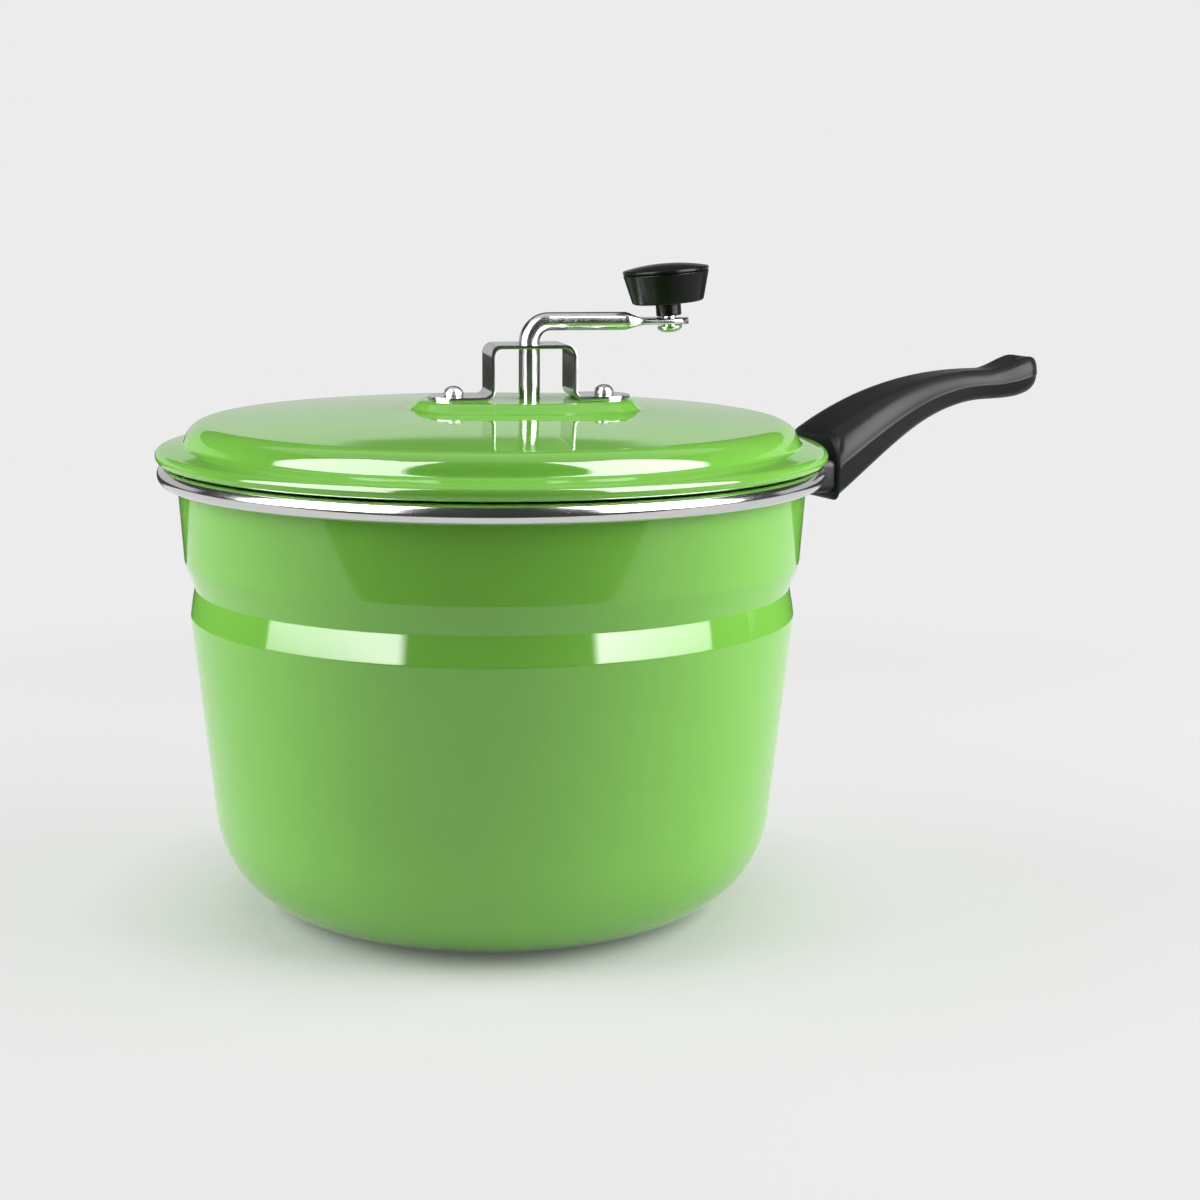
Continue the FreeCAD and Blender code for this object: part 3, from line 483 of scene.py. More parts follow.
pot = {
    "wall": 1.5, "foot": 96.0, "baseRound": 37.6, "flange": 115.9, "step": 3.0,
    "shoulder": (107.0, 106.0, 2.5), "waist": (105.2, 116.0, 1.2),   # radius, height, round
    "collar": (108.6, 125.5, 4.0), "rim": (110.7, 155.75, 2.0),
}


def makePot():
    corners = [(0, 0, 0), (pot["foot"], 0, pot["baseRound"]), pot["shoulder"], pot["waist"], pot["collar"],
               pot["rim"], (pot["flange"], pot["rim"][1], 0)]
    piece = turned("potShell", roundedPath(corners, pot["step"]), enamel, meshing["wideSides"], flip=True)
    thicken(piece, pot["wall"])
    dress(piece, "pot", "enamel", "pot_shell")


band = {"centre": 113.85, "z": 155.8, "tube": 3.55, "sheet": 0.7, "from": 164.0, "to": -121.0, "steps": 40}


def makeBand():
    profile = []
    for k in range(band["steps"] + 1):
        angle = math.radians(band["from"] + (band["to"] - band["from"]) * k / band["steps"])
        out = band["tube"] * math.cos(angle)
        up = band["tube"] * math.sin(angle)
        profile.append((band["centre"] + out, band["z"] + up))
    piece = turned("trimRing", profile, trimSteel, meshing["wideSides"])
    thicken(piece, band["sheet"])
    dress(piece, "pot", "trim_steel", "rim_band")


lid = {
    "sheet": 1.2, "beadCentre": 115.6, "bead": 2.3, "beadZ": 162.187, "domeFoot": (108.4, 166.0, 2.0),
    "domeTop": (105.7, 173.2, 8.6), "crownZ": 177.7, "crownEdge": 92.0, "crownEdgeZ": 174.2,
    "bossLength": 38.0, "bossWidth": 22.0, "bossZ": 180.597, "bossLean": 50.0, "bossRound": 4.0,
    "footRound": 4.0, "footRun": 4.0,
    "bossShift": -1.2,   # the boss sits a little off the crank
    "plainFrom": 68.0,   # from here out the rings are circles about the pot's axis
    "hole": 4.15, "ease": 10.0,   # the rod's round hole opens to the oval over this distance
    "blendRings": 8, "plainRings": 7, "rollSteps": 30, "bossStep": 6.0, "domeStep": 4.0,
}


def offsetCorners(corners, distance):
    # the parallel of a cornered path, distance > 0 to the left of its direction
    moved = []
    for i in range(len(corners)):
        sides = []
        for a, b in ((i - 1, i), (i, i + 1)):
            if a >= 0 and b < len(corners):
                run = (Vector(corners[b][:2]) - Vector(corners[a][:2])).normalized()
                sides.append(Vector((-run.y, run.x)))
        first, last = sides[0], sides[-1]
        place = Vector(corners[i][:2]) + (first + last) * (distance / (1 + first.dot(last)))
        bend = first.x * last.y - first.y * last.x
        radius = corners[i][2]
        if radius > 0:
            radius = max(radius - math.copysign(1, bend) * distance, 0.2)   # never quite sharp
        moved.append((place.x, place.y, radius))
    return moved


def bossSide(under):
    # oval rings from the rod's hole over the boss to the crown, or the same one sheet lower
    foot = lid["bossWidth"] + (lid["bossZ"] - lid["crownZ"]) * math.tan(math.radians(lid["bossLean"]))
    corners = [(lid["hole"], lid["bossZ"], 0), (lid["bossWidth"], lid["bossZ"], lid["bossRound"]),
               (foot, lid["crownZ"], lid["footRound"]), (foot + lid["footRun"], lid["crownZ"], 0)]
    points = roundedPath(offsetCorners(corners, -under) if under else corners, lid["bossStep"])
    oval = lid["bossLength"] - lid["bossWidth"]
    forms = []
    for x, z in points:
        away = min((x - lid["hole"]) / lid["ease"], 1.0)
        fallen = (lid["bossZ"] - under - z) / (lid["bossZ"] - lid["crownZ"])
        forms.append({"shift": layout["crankOffset"] + lid["bossShift"] * away, "stretch": oval * away,
                      "drape": max(0.0, min(fallen, 1.0))})
    last = points[-1].x
    end = lid["plainFrom"]
    for k in range(1, lid["blendRings"] + 1):
        share = k / lid["blendRings"]
        points.append(Vector((last + (end - last) * share, lid["crownZ"] - under)))
        forms.append({"shift": (layout["crankOffset"] + lid["bossShift"]) * (1 - share),
                      "stretch": oval * (1 - share), "drape": 1.0})
    for k in range(1, lid["plainRings"]):
        out = end + (lid["crownEdge"] - end) * k / lid["plainRings"]
        points.append(Vector((out, lid["crownZ"] - under)))
        forms.append({"shift": 0.0, "stretch": 0.0, "drape": 1.0})
    return points, forms


def makeLid():
    # boss, crown, dome, brim and rolled edge, then back along the inside
    sheet = lid["sheet"]
    dome = [(lid["crownEdge"], lid["crownEdgeZ"], 0), lid["domeTop"], lid["domeFoot"],
            (lid["beadCentre"], lid["beadZ"] + lid["bead"], 0)]
    roll = []
    start = math.radians(90)
    end = math.pi - math.asin((lid["bead"] - sheet) / lid["bead"]) - 2 * math.pi
    for k in range(1, lid["rollSteps"] + 1):
        angle = start + (end - start) * k / lid["rollSteps"]
        roll.append(Vector((lid["beadCentre"] + lid["bead"] * math.cos(angle),
                            lid["beadZ"] + lid["bead"] * math.sin(angle))))
    plain = {"shift": 0.0, "stretch": 0.0, "drape": 0.0}
    outer, outerForms = bossSide(0.0)
    inner, innerForms = bossSide(sheet)
    inside = list(reversed(roundedPath(offsetCorners(dome, -sheet), lid["domeStep"])))
    edge = roundedPath(dome, lid["domeStep"]) + roll + inside[1:]
    profile = outer + edge + list(reversed(inner)) + outer[:1]
    forms = outerForms + [plain] * len(edge) + list(reversed(innerForms)) + outerForms[:1]
    fall = (lid["crownZ"] - lid["crownEdgeZ"]) / lid["crownEdge"] ** 2
    piece = turned("lidShell", profile, enamel, meshing["wideSides"], forms=forms, fall=fall)
    tidyMesh(piece)
    dress(piece, "lid", "enamel", "lid_shell")


knobForm = {
    "bore": 2.6, "boreDepth": 8.0, "stem": 4.5, "stemFrom": 0.6, "stemRound": 0.4, "stemFillet": 0.8,
    "body": 5.2, "bottom": 12.6, "bottomRound": 1.3, "top": 15.3, "capZ": 16.0,
    "capRim": 1.2, "capRise": 1.8, "capRound": 0.55, "capSteps": 24, "gap": 0.16, "lip": 0.4, "step": 9.0,
    "edgeIn": 0.05, "edgeUnder": 0.3, "edgeRound": 0.25, "capEdge": 0.25, "capEdgeRound": 0.2,
}


def makeKnob():
    form = knobForm
    low = form["capZ"]
    half = form["top"]
    parting = low - form["gap"]   # a fine gap shows under the cap
    corners = [(form["bore"], form["stemFrom"], 0), (form["stem"], form["stemFrom"], form["stemRound"]),
               (form["stem"], form["body"], form["stemFillet"]),
               (form["bottom"], form["body"], form["bottomRound"]),
               (half - form["edgeIn"], low - form["edgeUnder"], form["edgeRound"]),
               (half - form["lip"], parting, 0), (0, parting, 0)]
    floor = low - form["boreDepth"]
    profile = [Vector((0, floor)), Vector((form["bore"], floor))]
    profile += roundedPath(corners, form["step"])[:-1] + [Vector((0, parting))]
    body = turned("knobBody", profile, knobBakelite, meshing["knobSides"], flip=True, place=onKnob())
    tidyMesh(body)
    dress(body, "knob", "bakelite", "knob")
    rise = form["capRise"]
    sphere = (half * half + rise * rise) / (2 * rise)
    dome = []
    for k in range(form["capSteps"]):
        angle = math.asin(half / sphere) * k / form["capSteps"]
        dome.append(Vector((sphere * math.sin(angle),
                            low + form["capRim"] + rise - sphere * (1 - math.cos(angle)))))
    corners = [tuple(dome[-1]) + (0,), (half, low + form["capRim"], form["capRound"]),
               (half, low + form["capEdge"], form["capEdgeRound"]),
               (half - form["lip"], low, 0), (0, low, 0)]
    profile = dome[:-1] + roundedPath(corners, form["step"])
    cap = turned("knobCap", profile, knobBakelite, meshing["knobSides"], place=onKnob())
    tidyMesh(cap)
    dress(cap, "knob", "bakelite", "knob_cap")


hat = {   # the bracket's strip and its screws
    "length": 72.0, "width": 21.0, "sheet": 1.2, "span": 30.2, "top": 199.9, "foot": 181.8,
    "round": 3.6, "endRound": 10.1, "across": 9, "step": 9.0, "bevel": 0.28, "sharp": 25.0,
    "rodHole": 3.85, "screwHole": 2.2, "screwAt": 27.0,
}
screwForm = {"radius": 3.5, "height": 3.5, "rim": 0.6, "shank": 2.0, "length": 9.7}
rivetForm = {"radius": 4.35, "height": 2.4, "rim": 0.5, "shank": 2.5, "length": 14.15, "under": 2.95}
headForm = {"ease": 0.15, "fullness": 0.92, "steps": 12}


def fastenerProfile(form):
    # shank, then a round head with a short straight rim and a full dome
    radius = form["radius"]
    profile = [(0, -form["length"]), (form["shank"], -form["length"]), (form["shank"], 0.0),
               (radius - headForm["ease"], 0.0), (radius, headForm["ease"]), (radius, form["rim"])]
    steps = headForm["steps"]
    for k in range(1, steps + 1):
        angle = math.radians(90 * k / steps)
        out = radius * math.cos(angle) ** headForm["fullness"] if k < steps else 0.0
        up = (form["height"] - form["rim"]) * math.sin(angle) ** headForm["fullness"]
        profile.append((out, form["rim"] + up))
    return profile


def makeScrews():
    parts = []
    for side in (-1, 1):
        seat = Vector((layout["crankOffset"] + side * hat["screwAt"], 0, hat["foot"]))
        place = onLid() @ Matrix.Translation(seat * mm)
        profile = fastenerProfile(screwForm)
        parts.append(turned("screw", profile, screwSteel, meshing["screwSides"], flip=True, place=place))
    work = bmesh.new()
    for part in parts:
        work.from_mesh(part.data)
        bpy.data.objects.remove(part)
    piece = tidyMesh(pieceFrom(work, "bracketScrews", screwSteel))
    dress(piece, "lid", "screw_steel", "bracket_screws")


makePot()
makeBand()
makeLid()
makeKnob()
makeScrews()
print("pot, ring, lid, knob and screws turned")


def loftPiece(name, rings, material, place=None):
    # rings of equal point count joined to a closed skin
    work = bmesh.new()
    rows = [[work.verts.new(Vector(p) * mm) for p in ring] for ring in rings]
    count = len(rows[0])
    for a, b in zip(rows, rows[1:]):
        for i in range(count):
            j = (i + 1) % count
            work.faces.new((a[i], a[j], b[j], b[i]))
    work.faces.new(list(reversed(rows[0])))
    work.faces.new(rows[-1])
    piece = tidyMesh(pieceFrom(work, name, material))
    if place:
        piece.data.transform(place)
    return piece


def makeBracket():
    # flat strip with round ends, bent along its path
    half = hat["span"] / 2
    foot = hat["length"] / 2
    small = hat["round"] - hat["sheet"]
    corners = [(-foot, hat["foot"], 0), (-half, hat["foot"], small), (-half, hat["top"], hat["round"]),
               (half, hat["top"], hat["round"]), (half, hat["foot"], small), (foot, hat["foot"], 0)]
    path = roundedPath(corners, hat["step"])
    ends = [hat["endRound"] * (1 - math.cos(math.radians(a))) for a in range(0, 91, 6)]
    start = [Vector((-foot + d, hat["foot"])) for d in ends]
    finish = [Vector((foot - d, hat["foot"])) for d in reversed(ends)]
    middle = [p for p in path if abs(p.x) < foot - ends[-1] - 0.5]
    work = bmesh.new()
    across = hat["across"]
    rows = []
    for p in start + middle + finish:
        inset = max(0.0, hat["endRound"] - (foot - abs(p.x)))
        reach = hat["width"] / 2 - hat["endRound"] + math.sqrt(max(hat["endRound"] ** 2 - inset ** 2, 0.0))
        x = layout["crankOffset"] + p.x
        places = [(x, reach * (2 * i / (across - 1) - 1), p.y) for i in range(across)]
        rows.append([work.verts.new(Vector(place) * mm) for place in places])
    for a, b in zip(rows, rows[1:]):
        for i in range(across - 1):
            work.faces.new((a[i], b[i], b[i + 1], a[i + 1]))
    piece = thicken(pieceFrom(work, "crankBracket", stripSteel), hat["sheet"])
    x = layout["crankOffset"] * mm
    cutHole(piece, hat["rodHole"] * mm, x, 0.196, 0.203)
    for side in (-hat["screwAt"], hat["screwAt"]):
        cutHole(piece, hat["screwHole"] * mm, x + side * mm, 0.178, 0.185)
    tidyMesh(piece)
    modify(piece, "BEVEL", width=hat["bevel"] * mm, segments=2, limit_method="ANGLE",
           angle_limit=math.radians(50))
    bakePiece(piece)
    tidyMesh(piece, hat["sharp"])   # keeps the bevel's narrow faces apart
    piece.data.transform(onLid())
    dress(piece, "lid", "strip_steel", "crank_bracket")


rod = {
    "d": 7.5, "armHeight": 6.4, "bottom": 14.0, "ease": 0.4, "bend": 7.2,
    "taperFrom": 16.5, "taperTo": 10.0,   # the forging's ends, from the knob's axis
    "width": 14.0, "sheet": 2.5, "edge": 1.15,
    "points": 40, "barRings": range(40, 200, 20), "bendSteps": 18, "armSteps": 6, "taperSteps": 24,
    "eyeRings": (9, 6, 3, 0), "eyeSteps": 14, "eyeStep": 6.4, "eyeEnd": 88,
    "fullUp": 3, "fullAside": 1.6,   # how soon the forging's section is full
}


def ringAngles():
    return [2 * math.pi * k / rod["points"] for k in range(rod["points"])]


def barSection(height, width):
    # an ellipse as (up, aside), from its top round
    return [(height / 2 * math.cos(angle), width / 2 * math.sin(angle)) for angle in ringAngles()]


def forgedSection(height, width):
    # a flat bar with round edges, point for point beside barSection
    edge = min(height / 2, rod["edge"], width / 2)
    ring = []
    for angle in ringAngles():
        c = math.cos(angle)
        s = math.sin(angle)
        up = edge * c + math.copysign(height / 2 - edge, c) * min(1.0, abs(c) * rod["fullUp"])
        aside = edge * s + (width / 2 - edge) * max(-1.0, min(1.0, s * rod["fullAside"]))
        ring.append((up, aside))
    return ring


def makeRod():
    # round bar, bent once, its end forged flat into an eye
    x0 = layout["crankOffset"]
    zArm = layout["armZ"]
    bend = rod["bend"]
    zBend = zArm - bend
    support = meshing["support"]
    rings = []
    for z in [rod["bottom"], rod["bottom"] + rod["ease"], *rod["barRings"], zBend - support]:
        r = rod["d"] - (2 * rod["ease"] if z == rod["bottom"] else 0.0)
        rings.append([(x0 - a, b, z) for a, b in barSection(r, r)])
    steps = rod["bendSteps"]
    for k in range(steps + 1):
        turn = math.radians(90 * k / steps)
        ring = []
        for a, b in barSection(mixValues(rod["d"], rod["armHeight"], k / steps), rod["d"]):
            reach = bend + a
            ring.append((x0 + bend - reach * math.cos(turn), b, zBend + reach * math.sin(turn)))
        rings.append(ring)
    knobX = layout["knobX"]
    armStart = x0 + bend
    roundEnd = knobX - rod["taperFrom"]
    inner = [armStart + (roundEnd - armStart) * k / rod["armSteps"] for k in range(1, rod["armSteps"])]
    for x in [armStart + support] + inner + [roundEnd - support]:
        rings.append([(x, b, zArm + a) for a, b in barSection(rod["armHeight"], rod["d"])])
    taper = rod["taperFrom"] - rod["taperTo"]
    for k in range(rod["taperSteps"] + 1):
        share = k / rod["taperSteps"]
        flat = share * share * (3 - 2 * share)
        height = mixValues(rod["armHeight"], rod["sheet"], flat)
        width = mixValues(rod["d"], rod["width"], flat)
        ring = []
        for p, q in zip(barSection(height, width), forgedSection(height, width)):
            up = mixValues(p[0], q[0], flat)
            ring.append((roundEnd + taper * share, mixValues(p[1], q[1], flat), zArm + up))
        rings.append(ring)
    for back in rod["eyeRings"]:
        rings.append([(knobX - back, b, zArm + a) for a, b in forgedSection(rod["sheet"], rod["width"])])
    for k in range(1, rod["eyeSteps"] + 1):
        angle = math.radians(min(rod["eyeStep"] * k, rod["eyeEnd"]))
        thick = rod["sheet"] * min(1.0, 0.55 + 0.45 * math.cos(angle) * 3)
        x = knobX + rod["width"] / 2 * math.sin(angle)
        rings.append([(x, b, zArm + a) for a, b in forgedSection(thick, rod["width"] * math.cos(angle))])
    piece = loftPiece("crankRod", rings, rodChrome, onLid())
    dress(piece, "crank", "bar_chrome", "crank_rod")


def makeRivet():
    # head down, under the eye
    seat = Matrix.Translation(Vector((0, 0, -rivetForm["under"])) * mm)
    place = onKnob() @ seat @ Matrix.Rotation(math.pi, 4, "X")
    profile = fastenerProfile(rivetForm)
    piece = turned("knobRivet", profile, screwSteel, meshing["screwSides"], flip=True, place=place)
    tidyMesh(piece)
    dress(piece, "crank", "screw_steel", "knob_spindle")


makeBracket()
makeRod()
makeRivet()
print("bracket, rod and rivet made")

grip = {
    "face": 132.0, "length": 101.2, "rootHalf": 19.0, "rootFlat": 8.0, "rootBottom": 139.0, "rootTop": 163.4,
    "neckAt": 0.74, "tipAt": 0.92, "neckHalf": 9.0, "neckFlat": 3.4, "neckBottom": 173.3, "neckTop": 184.8,
    "tipHalf": 11.0, "tipFlat": 6.0, "tipBottom": 173.6, "tipTop": 190.6, "topEase": 2.2,
    "riseFrom": 0.775, "riseTo": 0.99, "curlAt": 0.82, "narrow": 1.3,
    "lowRound": 4.0, "draft": 0.06, "shoulderPower": 0.84, "scoopAt": 0.89, "scoop": 34.0, "scoopDepth": 2.2,
    "hole": 2.2, "holeInset": 8.0, "endRound": 1.4, "seam": 0.1, "seamHalf": 0.35, "seamFull": 8,
    "fullBefore": 0.15, "fullRun": 0.25, "flatMost": 0.8, "cornerMost": 0.9,
    "flatSteps": 4, "shoulderSteps": 14, "sideSteps": 5, "cornerSteps": 7,
    "rootSteps": 5, "backFrom": 0.02, "backSteps": 36, "neckSteps": 15, "tipTurns": range(6, 84, 6),
    "sharp": 32.0,
}


def easeBoth(share):
    return 0.5 - 0.5 * math.cos(math.pi * share)


def roundOff(u, start):
    # falls from 1 at start to 0 at the end of the grip, along a quarter circle
    return math.sqrt(max(1 - ((u - start) / (1 - start)) ** 2, 0.0))


def gripStation(u):
    # half width, half of the flat back, bottom and top of the section at that share of the length
    if u <= grip["neckAt"]:
        t = max(u, 0.0) / grip["neckAt"]
        half = mixValues(grip["rootHalf"], grip["neckHalf"], easeBoth(t))
        flat = mixValues(grip["rootFlat"], grip["neckFlat"], t * t)
        top = mixValues(grip["rootTop"], grip["neckTop"], 1 - (1 - t) ** grip["topEase"])
        bottom = mixValues(grip["rootBottom"], grip["neckBottom"], math.sin(math.pi / 2 * t))
        return half, flat, bottom, top
    t = easeBoth(min((u - grip["neckAt"]) / (grip["tipAt"] - grip["neckAt"]), 1.0))
    half = mixValues(grip["neckHalf"], grip["tipHalf"], t)
    flat = mixValues(grip["neckFlat"], grip["tipFlat"], t)
    rise = min(max((u - grip["riseFrom"]) / (grip["riseTo"] - grip["riseFrom"]), 0.0), 1.0)
    top = mixValues(grip["neckTop"], grip["tipTop"], mixValues(rise, easeBoth(rise), 0.5))
    bottom = mixValues(grip["neckBottom"], grip["tipBottom"], t)
    if u > grip["tipAt"]:
        away = roundOff(u, grip["tipAt"])
        half = half * away ** grip["narrow"]
        flat = flat * away ** grip["narrow"]
        top = mixValues((top + bottom) / 2, top, away ** 0.8)
    if u > grip["curlAt"]:
        bottom = mixValues((top + bottom) / 2, bottom, roundOff(u, grip["curlAt"]))
    return half, flat, bottom, top


def gripRing(x, u, inset=0.0):
    half, flat, bottom, top = gripStation(u)
    half, top, bottom = half - inset, top - inset, bottom + inset
    flat = min(flat, half * grip["flatMost"])
    middle = (top + bottom) / 2
    lowHalf = half - grip["draft"] * (middle - bottom)
    # the section grows round towards the tip
    fuller = min(max((u - grip["neckAt"] + grip["fullBefore"]) / grip["fullRun"], 0.0), 1.0)
    small = min(grip["lowRound"], (middle - bottom) / 2, half / 3)
    corner = mixValues(small, min(middle - bottom, half) * grip["cornerMost"], fuller)
    right = [(flat * k / grip["flatSteps"], top) for k in range(grip["flatSteps"])]
    for k in range(grip["shoulderSteps"]):
        angle = math.radians(90 - 90 * k / grip["shoulderSteps"])
        right.append((flat + (half - flat) * max(math.cos(angle), 0) ** grip["shoulderPower"],
                      middle + (top - middle) * max(math.sin(angle), 0) ** grip["shoulderPower"]))
    # parting line: a thin flash along the side
    seam = grip["seam"] * min(1.0, half / grip["seamFull"])
    drop = min(grip["seamHalf"], (middle - bottom) / 4)
    right += [(half, middle + drop), (half + seam, middle), (half, middle - drop)]
    for k in range(1, grip["sideSteps"]):
        share = k / grip["sideSteps"]
        right.append((mixValues(half, lowHalf, share), mixValues(middle - drop, bottom + corner, share)))
    for k in range(grip["cornerSteps"] + 1):
        angle = math.radians(90 * k / grip["cornerSteps"])
        aside = lowHalf - corner + corner * math.cos(angle)
        right.append((aside, bottom + corner - corner * math.sin(angle)))
    for k in range(1, grip["flatSteps"] + 1):
        right.append(((lowHalf - corner) * (1 - k / grip["flatSteps"]), bottom))
    left = [(-y, z) for y, z in reversed(right[1:-1])]
    ring = []
    for y, z in right + left:
        if z > middle:
            # spoon-shaped scoop in the tip's top
            dx = x - grip["face"] - grip["length"] * grip["scoopAt"]
            under = grip["scoop"] ** 2 - dx * dx - y * y
            if under > 0:
                hollow = grip["tipTop"] + grip["scoop"] - grip["scoopDepth"] - math.sqrt(under)
                z = max(min(z, hollow), middle)
        ring.append((x, y, z))
    return ring


def makeGrip():
    rings = []
    bend = grip["endRound"]
    for k in range(grip["rootSteps"], -1, -1):
        angle = math.radians(90 / grip["rootSteps"] * k)
        x = grip["face"] + bend * (1 - math.sin(angle))
        rings.append(gripRing(x, 0.0, bend * (1 - math.cos(angle))))
    neck = grip["neckAt"]
    tip = grip["tipAt"]
    shares = [mixValues(grip["backFrom"], neck, k / grip["backSteps"]) for k in range(grip["backSteps"])]
    shares += [mixValues(neck, tip, k / grip["neckSteps"]) for k in range(grip["neckSteps"] + 1)]
    shares += [mixValues(tip, 1.0, math.sin(math.radians(a))) for a in grip["tipTurns"]]
    rings += [gripRing(grip["face"] + grip["length"] * u, u) for u in shares]
    piece = loftPiece("gripHandle", rings, bakelite)
    x = (grip["face"] + grip["length"] - grip["holeInset"]) * mm
    cutHole(piece, grip["hole"] * mm, x, 0.165, 0.200)
    tidyMesh(piece, grip["sharp"])
    dress(piece, "pot", "bakelite", "handle")


cup = {
    "back": 121.5, "front": 132.3, "half": 17.0, "bottom": 142.0, "top": 154.8, "corner": 3.0, "bend": 2.2,
    "cornerSteps": 8, "bendSteps": 6, "backInset": 6.8, "leastCorner": 0.5, "ease": 0.4,
}


def cupRing(x, inset):
    half = cup["half"] - inset
    middle = (cup["bottom"] + cup["top"]) / 2
    rise = (cup["top"] - cup["bottom"]) / 2 - inset
    corner = max(cup["corner"] - inset, cup["leastCorner"])
    ring = []
    for quarter, (sy, sz) in enumerate(((1, 1), (-1, 1), (-1, -1), (1, -1))):
        for k in range(cup["cornerSteps"] + 1):
            angle = math.radians(90 * quarter + 90 * k / cup["cornerSteps"])
            ring.append((x, sy * (half - corner) + corner * math.cos(angle),
                         middle + sz * (rise - corner) + corner * math.sin(angle)))
    return ring


def makeCup():
    back = cup["back"]
    bend = cup["bend"]
    rings = [cupRing(back, cup["backInset"])]
    for k in range(cup["bendSteps"] + 1):
        angle = math.radians(90 / cup["bendSteps"] * k)
        rings.append(cupRing(back + bend * (1 - math.cos(angle)), bend * (1 - math.sin(angle))))
    straight = (back + bend + cup["ease"], cup["front"] - meshing["support"], cup["front"])
    rings += [cupRing(x, 0.0) for x in straight]
    # the cup's dark metal is painted shade, not the colour of its steel
    piece = loftPiece("handleCup", rings, shadeDarkCupSteel)
    dress(piece, "pot", "trim_steel", "handle_ferrule")


makeGrip()
makeCup()
print("handle and its cup made")

studio = {
    "turn": -27.0, "aim": 0.10, "white": 0.838, "floorColour": 0.64, "keep": 0.26, "fade": 0.60,
    "floorX": (-1.15, 1.15), "floorY": (-0.38, 0.62),
    "contact": (0.085, 0.150), "lift": (0.09, 0.68),   # the shadow's lift at the foot and away from it
    "polish": 1.6,                                     # the gloss sees the floor this much plainer
    "gloom": 0.05, "fill": 0.05,
}


def fromView(azimuth, elevation, distance, height=studio["aim"]):
    # azimuth 0 is to the camera's right, 90 away from it
    a = math.radians(azimuth + studio["turn"])
    e = math.radians(elevation)
    flat = distance * math.cos(e)
    return Vector((flat * math.cos(a), flat * math.sin(a), height + distance * math.sin(e)))


def floorMaterial():
    # plain matt floor near the pot, running into the plain backdrop colour further out
    material, tree = emptyMaterial("paleFloor")
    coords = addNode(tree, "ShaderNodeTexCoord").outputs["Object"]
    distance = addNode(tree, "ShaderNodeVectorMath", {0: coords}, operation="LENGTH").outputs["Value"]
    fade = addNode(tree, "ShaderNodeMapRange",
                   {"Value": distance, "From Min": studio["keep"], "From Max": studio["fade"]},
                   interpolation_type="SMOOTHSTEP").outputs[0]
    near, far = studio["contact"]
    lift = addNode(tree, "ShaderNodeMapRange",
                   {"Value": distance, "From Min": near, "From Max": far,
                    "To Min": studio["lift"][0], "To Max": studio["lift"][1]}).outputs[0]
    tone = studio["floorColour"]
    matt = addNode(tree, "ShaderNodeBsdfDiffuse", {"Color": (tone, tone, tone, 1)})
    plain = addNode(tree, "ShaderNodeEmission", {"Color": (1, 1, 1, 1), "Strength": studio["white"]})
    path = addNode(tree, "ShaderNodeLightPath").outputs
    seen = maths(tree, "MAXIMUM", path["Is Glossy Ray"], path["Is Transmission Ray"])
    seen = maths(tree, "MAXIMUM", path["Is Camera Ray"], seen)
    plainer = times(tree, path["Is Glossy Ray"], studio["polish"])
    plainer = maths(tree, "MAXIMUM", plainer, 1.0)
    share = times(tree, maths(tree, "MAXIMUM", fade, lift), plainer)
    share = times(tree, maths(tree, "MINIMUM", share, 1.0), seen)
    mix = addNode(tree, "ShaderNodeMixShader", {0: share, 1: matt.outputs[0], 2: plain.outputs[0]})
    addNode(tree, "ShaderNodeOutputMaterial", {"Surface": mix.outputs[0]})
    return material


def glowMaterial(name, strength):
    material, tree = emptyMaterial(name)
    level = addNode(tree, "ShaderNodeAttribute", attribute_name="level").outputs["Fac"]
    strength = times(tree, level, strength)
    glow = addNode(tree, "ShaderNodeEmission", {"Color": (1, 1, 1, 1), "Strength": strength})
    addNode(tree, "ShaderNodeOutputMaterial", {"Surface": glow.outputs[0]})
    return material


def makeStage():
    turn = Matrix.Rotation(math.radians(studio["turn"]), 4, "Z")
    work = bmesh.new()
    left, right = studio["floorX"]
    front, back = studio["floorY"]
    corners = [(left, front), (right, front), (right, back), (left, back)]
    work.faces.new([work.verts.new(turn @ Vector((x, y, 0))) for x, y in corners])
    floor = pieceFrom(work, "floor", floorMaterial())


def glowPanel(name, rails, glow, soft=0.0):
    # a bright sheet between rails, seen by nothing but the gloss; its rim fades out over the share soft
    work = bmesh.new()
    level = work.verts.layers.float.new("level")
    shares = [0.0, soft, 1 - soft, 1.0] if soft else [0.0, 1.0]
    rows = []
    for rail in rails:
        row = []
        for share in shares:
            vert = work.verts.new(rail[0].lerp(rail[1], share))
            rim = rail in (rails[0], rails[-1]) or share in (0.0, 1.0)
            vert[level] = 0.0 if soft and rim else 1.0
            row.append(vert)
        rows.append(row)
    for a, b in zip(rows, rows[1:]):
        for i in range(len(a) - 1):
            work.faces.new((a[i], a[i + 1], b[i + 1], b[i]))
    panel = pieceFrom(work, name, glowMaterial(name + "Glow", glow))
    panel.visible_camera = False
    panel.visible_diffuse = False
    panel.visible_shadow = False


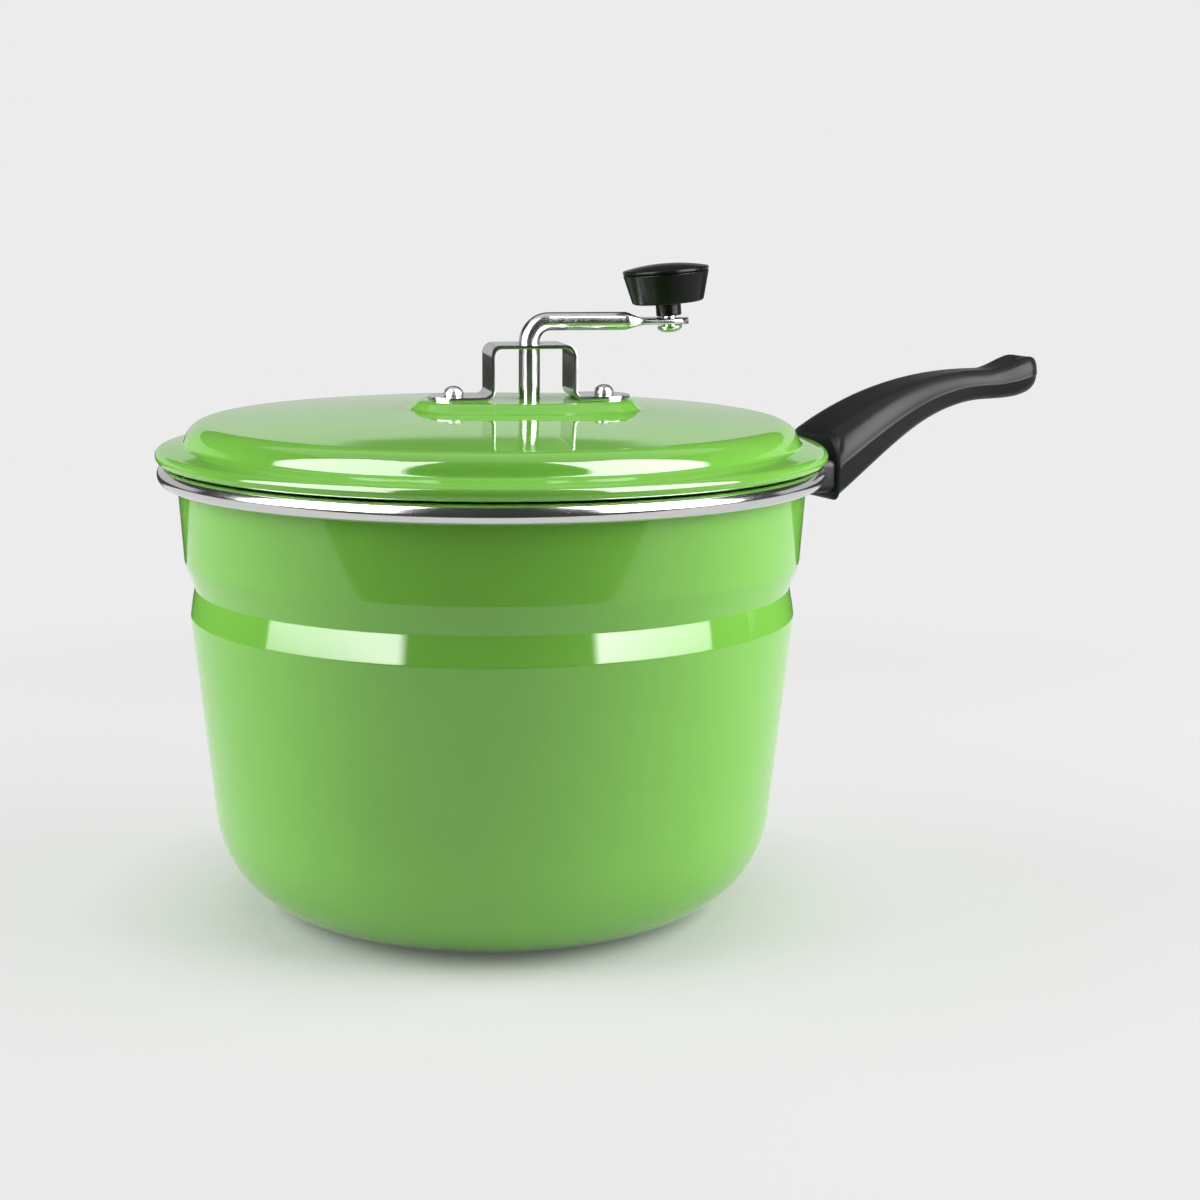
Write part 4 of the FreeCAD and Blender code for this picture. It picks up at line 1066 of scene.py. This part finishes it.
sweep = {"from": 20.0, "to": 160.0, "distance": 1.45, "low": 0.10, "high": 0.54, "glow": 0.60, "steps": 24}
boxes = {   # azimuths of the two sides at the foot and at the top, which leans over the pot
    "left": {"foot": (-176.0, -117.0), "top": (-162.0, -127.0), "low": 0.10, "high": 2.3, "glow": 11.5},
    "right": {"foot": (-53.0, -1.0), "top": (-50.0, -8.0), "low": 0.11, "high": 2.3, "glow": 13.5},
}
boxDistance = {"foot": 1.0, "top": 0.55}
boxRim = 0.06
skyPanel = {"place": (90.0, 78.0, 1.4), "width": 2.2, "height": 1.4, "glow": 0.8}
lamps = {   # place: azimuth, elevation, distance
    "left": {"place": (-174.0, 25.0, 1.2), "width": 1.2, "height": 1.0, "level": 5.0},
    "right": {"place": (-5.0, 25.0, 1.2), "width": 1.2, "height": 1.0, "level": 6.0},
    "top": {"place": (90.0, 66.0, 1.4), "width": 1.6, "height": 1.2, "level": 1.15},
}


def facePot(azimuth, elevation, distance):
    # a frame at that place whose +Z looks away from the pot
    place = fromView(azimuth, elevation, distance)
    turn = (place - Vector((0, 0, studio["aim"]))).to_track_quat("Z", "Y")
    return Matrix.Translation(place) @ turn.to_matrix().to_4x4()


def boxCorner(box, end, share):
    # the box's foot or top edge, straight from side to side
    azimuth = mixValues(*box[end], share)
    half = math.radians((box[end][1] - box[end][0]) / 2)
    away = boxDistance[end] / math.cos(half * (2 * share - 1))
    return fromView(azimuth, 0, away, box["low"] if end == "foot" else box["high"])


def makePanels():
    rails = []
    for k in range(sweep["steps"] + 1):
        azimuth = mixValues(sweep["from"], sweep["to"], k / sweep["steps"])
        rails.append([fromView(azimuth, 0, sweep["distance"], z) for z in (sweep["low"], sweep["high"])])
    glowPanel("backSweep", rails, sweep["glow"])
    for side, box in boxes.items():
        rails = []
        for share in (0.0, boxRim, 1 - boxRim, 1.0):
            rails.append([boxCorner(box, end, share) for end in ("foot", "top")])
        glowPanel(side + "Box", rails, box["glow"], boxRim)
    over = facePot(*skyPanel["place"])
    wide = skyPanel["width"] / 2
    deep = skyPanel["height"] / 2
    rails = [[over @ Vector((x, y, 0)) for y in (-deep, deep)] for x in (-wide, wide)]
    glowPanel("skyPanel", rails, skyPanel["glow"])


def makeLamp(side):
    form = lamps[side]
    data = bpy.data.lights.new(side + "Lamp", "AREA")
    data.shape = "RECTANGLE"
    data.size = form["width"]
    data.size_y = form["height"]
    data.energy = form["level"] * math.pi * form["width"] * form["height"]
    lamp = addObject(side + "Lamp", data)
    here = facePot(*form["place"])
    lamp.location = here.translation
    lamp.rotation_euler = here.to_euler()
    lamp.visible_glossy = False


def makeWorld():
    world = bpy.data.worlds.new("studio")
    bpy.context.scene.world = world
    world.use_nodes = True
    tree = world.node_tree
    tree.nodes.clear()
    path = addNode(tree, "ShaderNodeLightPath").outputs
    total = times(tree, path["Is Camera Ray"], studio["white"])
    for ray, level in (("Is Glossy Ray", studio["gloom"]), ("Is Diffuse Ray", studio["fill"])):
        total = maths(tree, "ADD", total, times(tree, path[ray], level))
    sky = addNode(tree, "ShaderNodeBackground", {"Color": (1, 1, 1, 1), "Strength": total})
    addNode(tree, "ShaderNodeOutputWorld", {"Surface": sky.outputs[0]})


view = {
    "place": (-0.3493, -0.7693, 0.2604), "tilt": 79.82, "turn": -27.0, "roll": 0.40,
    "lens": 71.94, "sensor": 36.0, "near": 0.01,
}


def makeCamera():
    data = bpy.data.cameras.new("camera")
    data.lens = view["lens"]
    data.sensor_width = view["sensor"]
    data.clip_start = view["near"]
    camera = addObject("camera", data)
    turn, tilt, roll = [Matrix.Rotation(math.radians(view[key]), 3, axis)
                        for key, axis in (("turn", "Z"), ("tilt", "X"), ("roll", "Z"))]
    camera.rotation_euler = (turn @ tilt @ roll).to_euler()
    camera.location = view["place"]
    bpy.context.scene.camera = camera


makeStage()
makePanels()
for side in lamps:
    makeLamp(side)
makeWorld()
makeCamera()
bpy.context.scene.view_settings.view_transform = "Standard"
print("floor, light and camera set")
